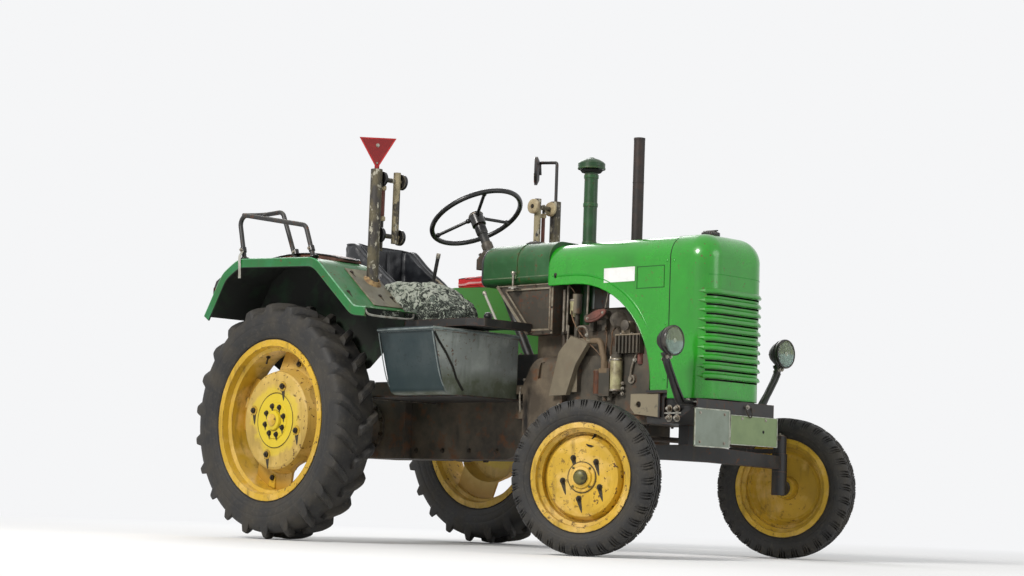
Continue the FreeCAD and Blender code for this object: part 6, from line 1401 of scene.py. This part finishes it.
def blow_up(pads, steps=20):
    """Runs the cloth of all the pads together and keeps each point within its pad's cap."""
    for item, pressure, cap in pads:
        cloth = item.modifiers.new("Cloth", "CLOTH")
        cloth.settings.use_pressure = True
        cloth.settings.uniform_pressure_force = pressure
        cloth.settings.effector_weights.gravity = 0
        cloth.settings.vertex_group_mass = "Held"
    for step in range(1, steps + 1):
        scene.frame_set(step)
    for item, pressure, cap in pads:
        blown = worked(item)
        for vertex, target in zip(item.data.vertices, blown.vertices):
            move = target.co - vertex.co
            vertex.co += move * min(1.0, cap / 1000 / max(move.length, 1e-6))
        item.modifiers.clear()
    scene.frame_set(1)


def crumple(item, size, depth):
    """Folds of a size and depth in millimetres, which leave the underside flat."""
    floor = min(vertex.co.z for vertex in item.data.vertices) + 0.008
    for vertex, normal in with_normals(item):
        if vertex.co.z > floor:
            vertex.co += normal * noise.noise(vertex.co * 1000 / size) * depth / 1000


def groove(item, lines, depth, width):
    """Sewn channels along straight lines, given by their two ends as stations."""
    ends = [(CHASSIS @ Vector(first), CHASSIS @ Vector(last)) for first, last in lines]
    for vertex, normal in with_normals(item):
        for first, last in ends:
            near, share = intersect_point_line(vertex.co, first, last)
            share = min(1.0, max(0.0, share))
            away = (vertex.co - first.lerp(last, share)).length * 1000
            if away < 3 * width:
                vertex.co -= normal * depth / 1000 * math.exp(-(away / width) ** 2)


def sewn(item, node, look):
    """Finishes a pad: its look, one subdivision and what it stands for."""
    item.data.materials.append(LOOKS[look].material)
    for face in item.data.polygons:
        face.use_smooth = True
    item.modifiers.new("Soft", "SUBSURF").levels = 1
    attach(item, "chassis")
    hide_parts(node)


def on_skin(item, points, proud=1.0):
    """Points brought to the nearest place on a pad's skin, as stations."""
    tree = BVHTree.FromPolygons([vertex.co for vertex in item.data.vertices],
                                [face.vertices for face in item.data.polygons])
    places = []
    for point in points:
        place, normal, index, away = tree.find_nearest(CHASSIS @ Vector(point))
        places.append(CHASSIS.inverted() @ (place + normal * proud / 1000))
    return places


def along_line(points, step=25):
    """Points every so many millimetres along straight runs."""
    line = []
    for first, last in zip(points, points[1:]):
        first, last = Vector(first), Vector(last)
        count = max(1, round((last - first).length / step))
        line += [first.lerp(last, k / count) for k in range(count)]
    return line + [Vector(points[-1])]


def seat_shape(co):
    """The seat's back bows to the rear at its middle, and its wings lean out at the top."""
    x, y, z = CHASSIS.inverted() @ co
    high = max(0.0, (z - 1230) / 220)
    x -= 10 * high * (1 - (y / 210) ** 2) - 6 * high
    z += 16 * high * max(0.0, min(1.0, (-x - 40) / 120))
    return CHASSIS @ Vector((x, y, z))


def right_pad_shape(co):
    """The patterned cushion slumps: its front is blunt and its middle is sunk by use."""
    x, y, z = CHASSIS.inverted() @ co
    lift = max(0.0, (z - 1012) / 190)
    if x > 780:
        x = 780 + (x - 780) * (0.80 - 0.10 * lift)
        z += 26 * lift * min(1.0, (x - 780) / 60)
    z -= 14 * lift * math.exp(-((x - 610) / 70) ** 2)
    y += 5 * math.sin(x / 47)
    return CHASSIS @ Vector((x, max(-534.0, min(-300.0, y)), z))


def left_pad_shape(co):
    """The red cushion is thickest in its middle, and its sides pull in between the corners."""
    x, y, z = CHASSIS.inverted() @ co
    across = 1 - ((y - 685) / 125) ** 2
    along = 1 - ((x - 30) / 220) ** 2
    y += (685 - y) * 0.05 * along
    x += (30 - x) * 0.03 * across
    return CHASSIS @ Vector((x, y, z - (z - 1306) * 0.25 * (1 - across * along)))


def soft_goods():
    seat = cut_soft("DriverSeat", "seat", 7, 5, seat_shape)
    right = cut_soft("PatternedCushion", "right_pad", 6, 7, right_pad_shape)
    left = cut_soft("RedCushion", "left_pad", 5, 5, left_pad_shape)
    blow_up([(seat, 3.5, 9), (right, 4.0, 13), (left, 4.0, 10)])
    crumple(seat, 90, 5)
    crumple(seat, 32, 2.2)
    folds = []
    for side in (-1, 1):
        # Folded corners at the top of the back, and the seams down the wings
        folds += [((-198, side * 204, 1452), (-70, side * 208, 1316)),
                  ((-70, side * 208, 1316), (-52, side * 208, 1140)),
                  ((-198, side * 150, 1462), (-205, side * 206, 1330)),
                  ((90, side * 208, 1300), (110, side * 208, 1140)),
                  ((-150, side * 120, 1195), (212, side * 120, 1192))]
    folds.append(((-155, -160, 1196), (-155, 160, 1196)))
    folds += [((-154, y, 1210), (-154, y, 1440)) for y in (-55, 55)]
    groove(seat, folds, 6, 7)
    crumple(right, 60, 17)
    crumple(right, 21, 8)
    crumple(left, 70, 5)
    crumple(left, 24, 1.6)
    groove(left, [((-170, y, 1372), (235, y, 1360)) for y in (625, 685, 745)], 5, 7)
    kit = Kit("SeatPiping", "chassis", "black_vinyl")
    for side in (-1, 1):
        y = side * 206
        edge = along_line([(222, y, 1140), (222, y, 1214), (-108, y, 1452), (-190, y, 1462),
                           (-196, side * 20, 1466)])
        kit.pipe("seat_piping", on_skin(seat, edge, 2.5), 4.5)
        inner = along_line([(216, side * 168, 1208), (-100, side * 168, 1444), (-156, side * 150, 1456),
                            (-158, side * 10, 1460)])
        kit.pipe("seat_piping", on_skin(seat, inner, 1.5), 3.2)
    # A pale strip along the left wing's front end: a painted highlight on the wing's lower rim
    highlight_strip = along_line([(66, 168, 1325), (128, 168, 1281), (196, 168, 1229), (218, 168, 1200)], 12)
    kit.pipe("bare_edge", on_skin(seat, highlight_strip, 3.5), 5.5)
    kit.done()
    kit = Kit("CushionPiping", "chassis", "red_cloth")
    for z, proud in ((1364, 1.0), (1318, 0.5)):
        edge = along_line([(-180, 572, z), (240, 572, z), (240, 800, z), (-180, 800, z), (-180, 572, z)], 18)
        kit.pipe("black_gloss" if z > 1330 else "red_cloth", on_skin(left, edge, proud), 2.8)
    kit.done()
    sewn(seat, "seat", "black_vinyl")
    sewn(right, "right_pad", "grey_cloth")
    sewn(left, "left_pad", "red_cloth")


# Fenders, posts and what is fixed to them


FENDER_LINE = [(-444, 1045), (-317, 1244), (-200, 1306), (360, 1283), (640, 1050), (720, 1042)]
FENDER_BENDS = [150, 150, 150, 60]
SLOPE = Vector((0.64, 0, 0.769))


def rounded(points, radii, y, push=0.0, steps=10):
    """A line of (x, z) points at a distance y, with arcs at its bends, set in by push."""
    line = [Vector(points[0])]
    for before, at, after, radius in zip(points, points[1:], points[2:], radii):
        at = Vector(at)
        back, ahead = (Vector(before) - at).normalized(), (Vector(after) - at).normalized()
        half = back.angle(ahead) / 2
        reach = radius / math.tan(half)
        centre = at + (back + ahead).normalized() * radius / math.sin(half)
        first, last = at + back * reach - centre, at + ahead * reach - centre
        line += [centre + first.lerp(last, k / steps).normalized() * radius for k in range(steps + 1)]
    line.append(Vector(points[-1]))
    places = []
    for k, point in enumerate(line):
        run = heading(line, k)
        places.append((point.x + run.y * push, y, point.y - run.x * push))
    return places


def on_slope(x, y):
    """A point on the bare plate of a fender's front slope."""
    return Vector((x, y, 1283 - (x - 360) * 233 / 280)) + SLOPE * 4


def crown(x):
    """Height of a fender's crown at a station."""
    return 1306 - (x + 200) * 23 / 560


def fender_trim():
    kit = Kit("FenderTrim", "chassis", "fender_green")
    for side in (-1, 1):
        # A light bead along each fender's top outer edge: a painted highlight.
        kit.pipe("green_edge", rounded(FENDER_LINE, FENDER_BENDS, side * (FENDER_SIDE + 1), 1), 3.4)
        kit.pipe("fender_green", rounded(FENDER_LINE, FENDER_BENDS, side * FENDER_SIDE, 38), 5)
        # The bare plate's edge, its bolts and what has run down from them
        kit.ribbon("bare_edge", [on_slope(x, side * 711) - SLOPE for x in (410, 516, 622)], (0, 2.5, 0), 4)
        for x, y in ((562, 628), (565, 561), (430, 690), (430, 562), (555, 810)):
            at = on_slope(x, side * y)
            if y > 711:
                at = at - SLOPE * 4
            kit.bolt("grimy_steel", at, SLOPE, 13, 6, True, x)
            down = Vector((0.769, 0, -0.64))
            drop = [at + down * 6 + Vector((0, -7, 0)), at + down * 6 + Vector((0, 7, 0)),
                    at + down * 30 + Vector((0, 4, 0)), at + down * 42, at + down * 30 + Vector((0, -4, 0))]
            kit.slab("stain_and_shadow", drop, SLOPE * 0.4)
        kit.turned("weld_tan", on_slope(475, side * 600) - SLOPE * 2, SLOPE,
                   [(47, 0), (43, 5), (35, 9), (30, 18), (26, 18), (26, 0)], 28)
        for x, z in ((-150, 1302), (60, 1294), (270, 1285)):
            kit.bolt("rust_red", (x, side * 560, z), UP, 14, 5, True, x)
        # Light bent rail under the front lip
        y = side * FENDER_SIDE
        rail = [(712, y, 1038), (714, y - side * 6, 1016), (716, y - side * 40, 1008),
                (716, side * 700, 1008), (716, side * 575, 1009), (712, side * 552, 1018),
                (708, side * 548, 1040)]
        kit.pipe("bare_bracket", rail, 5)
        for y in (620, 700, 780):
            kit.bolt("bare_bracket", (684, side * y, 1044.6), (0.1, 0, 1), 11, 4, True, y)
    kit.done()


def post_trim():
    kit = Kit("PostRollers", "chassis", "rusty_steel")
    for side in (-1, 1):
        worn = "roller_cream" if side > 0 else "black_gloss"
        for z in (1670, 1410):
            for y in (433, 556):
                if y > 500:
                    kit.turned(worn, (475, side * y, z), (0, side, 0),
                               [(9, 0), (33, 0), (36, 3), (36, 13), (33, 16), (9, 16)], 36)
                else:
                    kit.turned(worn, (475, side * y, z), (0, side, 0),
                               [(12, 0), (30, -1), (36.5, 3), (36.5, 16), (33, 19.5), (12, 19.5)], 36)
                kit.turned("grimy_steel", (475, side * (y - 2), z), (0, side, 0),
                           [(0, 0), (10, 0), (12, 3), (12, 20)], 20)
            kit.bolt("grimy_steel", (475, side * 428, z), (0, side, 0), 15, 6, False, z)
        # Dark sleeve between pale rings on the thin strut
        for z in (1634, 1491):
            kit.turned("roller_cream", (454, side * 536, z - 12), UP,
                       [(8, 0), (13, 2), (14.5, 8), (14.5, 16), (13, 22), (8, 24)], 24)
        kit.turned("rust_red", (454, side * 536, 1503), UP, [(7, 0), (9.5, 2), (9.5, 118), (7, 120)], 18)
        for y, radius in ((600, 27), (472, 17)):
            kit.turned("post_rust", (475, side * y, 1709.2), UP,
                       [(radius - 5, 0), (radius, 0), (radius, 1.6), (radius - 4, 1.6)], 32, True)
    kit.done()
    kit = Kit("ReflectorTrim", "chassis", "red_reflector")
    turn = Matrix.Translation((475, -600, 1710)) @ Matrix.Rotation(math.radians(-40), 4, "Z")
    half, tall = 85, 85 * math.sqrt(3)
    middle = Vector((0, 0, tall * 2 / 3))
    for first, last in (((0, 0), (half, tall)), ((half, tall), (-half, tall)), ((-half, tall), (0, 0))):
        ends = [Vector((0, *first)), Vector((0, *last))]
        inner = [end.lerp(middle, 0.12) for end in ends]
        for face, thick in ((4.0, 1.2), (-1.0, 1.0)):
            corners = [turn @ (point + Vector((face, 0, 0)))
                       for point in (ends[0], ends[1], inner[1], inner[0])]
            kit.slab("reflector_edge", corners, turn.to_3x3() @ Vector((thick, 0, 0)))
    across = turn.to_3x3() @ Vector(AHEAD)
    kit.bolt("zinc_bolt", turn @ Vector((4, 0, 112)), across, 11, 5, True)
    kit.bolt("zinc_bolt", turn @ Vector((4, 0, 30)), across, 9, 4, False)
    kit.done()


soft_goods()
fender_trim()
post_trim()


# Fixings of the chassis, the footboards and the fender's passenger board


def chassis_trim():
    kit = Kit("DrivelineFixings", "chassis", "casting")
    for side in (-1, 1):
        out = Vector((0, side, 0))
        flange = Vector((0, side * 165, 550))
        kit.turned("oily_grey", flange, out, [(96, 0), (118, 0), (118, 12), (104, 15), (93, 15)], 48, True)
        for k in range(10):
            a = math.pi * (k + 0.5) / 5
            kit.bolt("grimy_steel", flange + Vector((109 * math.cos(a), side * 12, 109 * math.sin(a))), out,
                     17, 9)
        for y in (458, 484, 510):
            kit.turned("oily_grey", (0, side * y, 550), out, [(139.5, 0), (144, 3), (144, 9), (139.5, 12)],
                       64, True)
        for z in range(500, 850, 68):
            kit.bolt("grimy_steel", (1290, side * 160, z), AHEAD, 17, 10)
        for x in (515, 600, 685):
            kit.bolt("grimy_steel", (x, side * 68, 765), UP, 14, 8)
        for x in (300, 480, 660, 840, 1000):
            kit.bolt("grimy_steel", (x, side * 120, 440 if x < 860 else 480), out, 16, 9)
        # Clamps of the axle housing under the fender pads
        for x in (-62, 62):
            kit.bolt("zinc_bolt", (x, side * 480, 725), UP, 19, 12)
    kit.turned("oily_grey", (-200, 0, 520), BACK, [(48.5, 0), (68, 0), (68, 6), (60, 8), (48.5, 8)], 40, True)
    for k in range(6):
        a = math.pi * k / 3
        kit.bolt("grimy_steel", (-206, 58 * math.cos(a), 520 + 58 * math.sin(a)), BACK, 11, 6)
        way = Vector((0, math.cos(a), math.sin(a)))
        edge = Vector((0, -way.z, way.y)) * 2.6
        foot = Vector((-318, 0, 520)) + way * 17
        kit.slab("dusty_steel", [foot - edge, foot + edge, foot + edge + way * 1.8, foot - edge + way * 1.8],
                 (72, 0, 0))
    for y in (-58, 58):
        for z in (606, 652, 698):
            kit.bolt("zinc_bolt", (-214, y, z), BACK, 17, 10)
    kit.bolt("grimy_steel", (650, 0, 400), DOWN, 24, 10)
    kit.bolt("grimy_steel", (1180, 0, 480), DOWN, 24, 10)
    kit.done(bevel=0.4)
    for side, sign in SIDES:
        at = wheel_frame(WHEELBASE, sign * KINGPIN_Y, 0, PARKED)
        kit = Kit(f"KnuckleFixings.{side}", f"knuckle_{side}", "black_iron", at)
        kit.bolt("zinc_bolt", (-140, 0, 511.8), UP, 17, 10, True)
        top = 545 if sign > 0 else 485.5
        kit.turned("dusty_steel", (0, 0, top), UP,
                   [(20, 0), (20, 3), (16, 5), (6, 5), (5, 10), (3, 13), (0, 13)], 24)
        kit.turned("grimy_steel", (0, sign * 36, 315), (0, sign, 0), [(33, 0), (36, 3), (36, 12), (33, 15)],
                   32, True)
        kit.done()


def footboard_tread():
    """Raised bars in pairs, turned left and right, pressed into the footboards."""
    kit = Kit("FootboardTread", "chassis", "black_iron")
    for x0, x1, side in ((430, 790, 1), (430, 1020, -1)):
        for row in range(int((x1 - x0) / 30)):
            for column in range(13):
                at = Vector((x0 + 15 + row * 30, side * (140 + 30 * column), FOOTBOARD_TOP))
                lean = 1 if (row + column) % 2 else -1
                along, across = Vector((8, 8 * lean, 0)), Vector((-1.6 * lean, 1.6, 0))
                kit.slab("tread_steel", [at - along, at + across, at + along, at - across], (0, 0, 1.6))
        kit.box("tread_steel", (x0 - 9, side * 121, 656), (x0 - 4, side * 540, 672), 1)
    kit.done()


def passenger_board():
    """A brown board with a dark rolled edge, bowed over the right fender's top."""
    kit = Kit("FenderBoard", "chassis", "rusty_steel")
    rings, edges = [], ([], [])
    first, span, parts = -190, 535, 24
    for k in range(parts + 1):
        x = first + span * k / parts
        base = crown(x) + 0.5
        rise = 12 + 30 * math.sin(math.pi * k / parts) ** 0.8
        ring = [(x, -682, base), (x, -684, base + rise * 0.6), (x, -678, base + rise * 0.92)]
        ring += [(x, -678 + 12 * j, base + rise + 4 * math.sin(math.pi * j / 10)) for j in range(1, 10)]
        ring += [(x, -560, base + rise * 0.92), (x, -556, base + rise * 0.6), (x, -558, base)]
        rings.append(ring)
        edges[0].append((x, -681, base + rise * 0.95))
        edges[1].append((x, -559, base + rise * 0.95))
    kit.rings("board_brown", rings)
    kit.pipe("black_gloss", edges[0] + edges[1][::-1] + edges[0][:1], 4.2)
    kit.done(sharp=50)


def fender_fittings():
    kit = Kit("FenderFittings", "chassis", "black_iron")
    # Feet and clamps of the grab rail, and a loose pale strap over the fender's lip
    for x, y, lean in ((-184, -825, -56 / 219), (323, -825, -68 / 156), (57, -700, -0.36)):
        z = crown(x)
        up = Vector((lean, 0, 1)).normalized()
        kit.turned("black_gloss", Vector((x, y, z)) + up * 1, up,
                   [(24, 0), (24, 3), (16, 6), (13, 14), (11, 16), (11, 0)], 28, True)
        kit.turned("black_gloss", Vector((x, y, z)) + up * 34, up, [(11.2, 0), (15, 2), (15, 26), (11.2, 28)],
                   28, True)
        kit.bolt("zinc_bolt", Vector((x, y, z)) + up * 48 + Vector((0, -15, 0)), RIGHT, 11, 7)
    kit.ribbon("bare_bracket", [(-186, -838, 1345), (-187, -852, 1322), (-186, -854, 1300),
                                (-183, -853, 1260), (-178, -855, 1214)], (9, 0, 0), 2.5)
    # Hoods over the rear lamps, with their rims
    for side in (-1, 1):
        low, high = side * 705, side * 805
        hood = [(-437, 1187), (-356, 1187), (-324, 1237), (-352, 1254), (-424, 1216)]
        kit.slab("black_gloss", [(x, low, z) for x, z in hood], (0, high - low, 0), 3)
        for y in (side * 714, side * 796):
            kit.bolt("zinc_bolt", (-439, y, 1176), BACK, 8, 4, True)
        rim = [(-440, side * 709, 1104), (-440, side * 801, 1104), (-440, side * 801, 1186),
               (-440, side * 709, 1186), (-440, side * 709, 1104)]
        kit.pipe("black_gloss", along_line(rim, 12), 3.5)
    # Pale tip of the side lever and the bright rail of the hand lever
    kit.turned("zinc_bolt", (444.2, -165, 1345), (30, 0, 130),
               [(9.3, 0), (10.5, 2), (10.5, 22), (9, 25), (4, 26)], 20)
    kit.turned("zinc_bolt", (915, -310, 1147), (-83, 0, 131),
               [(6.2, -14), (9, -10), (10, -2), (8, 5), (0, 8)], 20)
    # Bright bolts, their strip and a thin bare plate under the cowl's front corners
    for side in (-1, 1):
        kit.box("bare_bracket", (2062, side * 150, 646), (2124, side * 204, 652), 1)
        for x, z in ((1925, 622), (1968, 622), (1925, 582), (1968, 582)):
            kit.bolt("zinc_bolt", (x, side * 185.5, z), (0, side, 0), 21, 13, True, x)
            kit.turned("zinc_bolt", (x, side * 198, z), (0, side, 0), [(7, 0), (7, 7), (5, 9), (0, 9)], 16)
        kit.box("bare_bracket", (1900, side * 185.4, 600), (1990, side * 189, 606), 1)
    kit.done(bevel=0.3)


# Columns: radius, height
RIVET = [(5, 0), (4.4, 1.6), (2.4, 2.6), (0, 2.9)]


def tub_trim():
    kit = Kit("TubTrim", "chassis", "galvanised")
    low, high = 648, 1000
    rim = [(low - 4, -705, 953), (high + 5, -705, 953), (high + 5, -160, 953), (low - 4, -160, 953),
           (low - 4, -705, 953)]
    kit.pipe("tub_rim", along_line(rim, 10), 4.5)
    for x in (low + 1, high - 1):
        kit.pipe("tub_rim", [(x, -701.5, 940), (x, -666, 800), (x, -633, 712), (x, -600, 676)], 2.6)
    # Rivets under the rim and a dark band down the front wall
    for k in range(9):
        kit.turned("zinc_bolt", (1005, -680 + 62 * k, 953), AHEAD, RIVET, 12)
    for k in range(6):
        kit.turned("zinc_bolt", (672 + 61 * k, -705, 953), RIGHT, RIVET, 12)
    strap = [(1001.4, -692, 938), (1001.4, -668, 905), (1001.4, -616, 850), (1001.4, -572, 790),
             (1001.4, -548, 740), (1001.4, -505, 690)]
    kit.ribbon("black_gloss", along_line(strap, 20), (0, 4.6, 3.4), 2)
    kit.done()


chassis_trim()
footboard_tread()
passenger_board()
fender_fittings()
tub_trim()


# Each CAD node takes its own look, or else that of its slot in the record.
for row in frame["record"]["subparts"]:
    item = NODES[row["node"]]
    item.data.materials.clear()
    item.data.materials.append(LOOKS[OWN_LOOK.get(row["node"], row["material_slot"])].material)
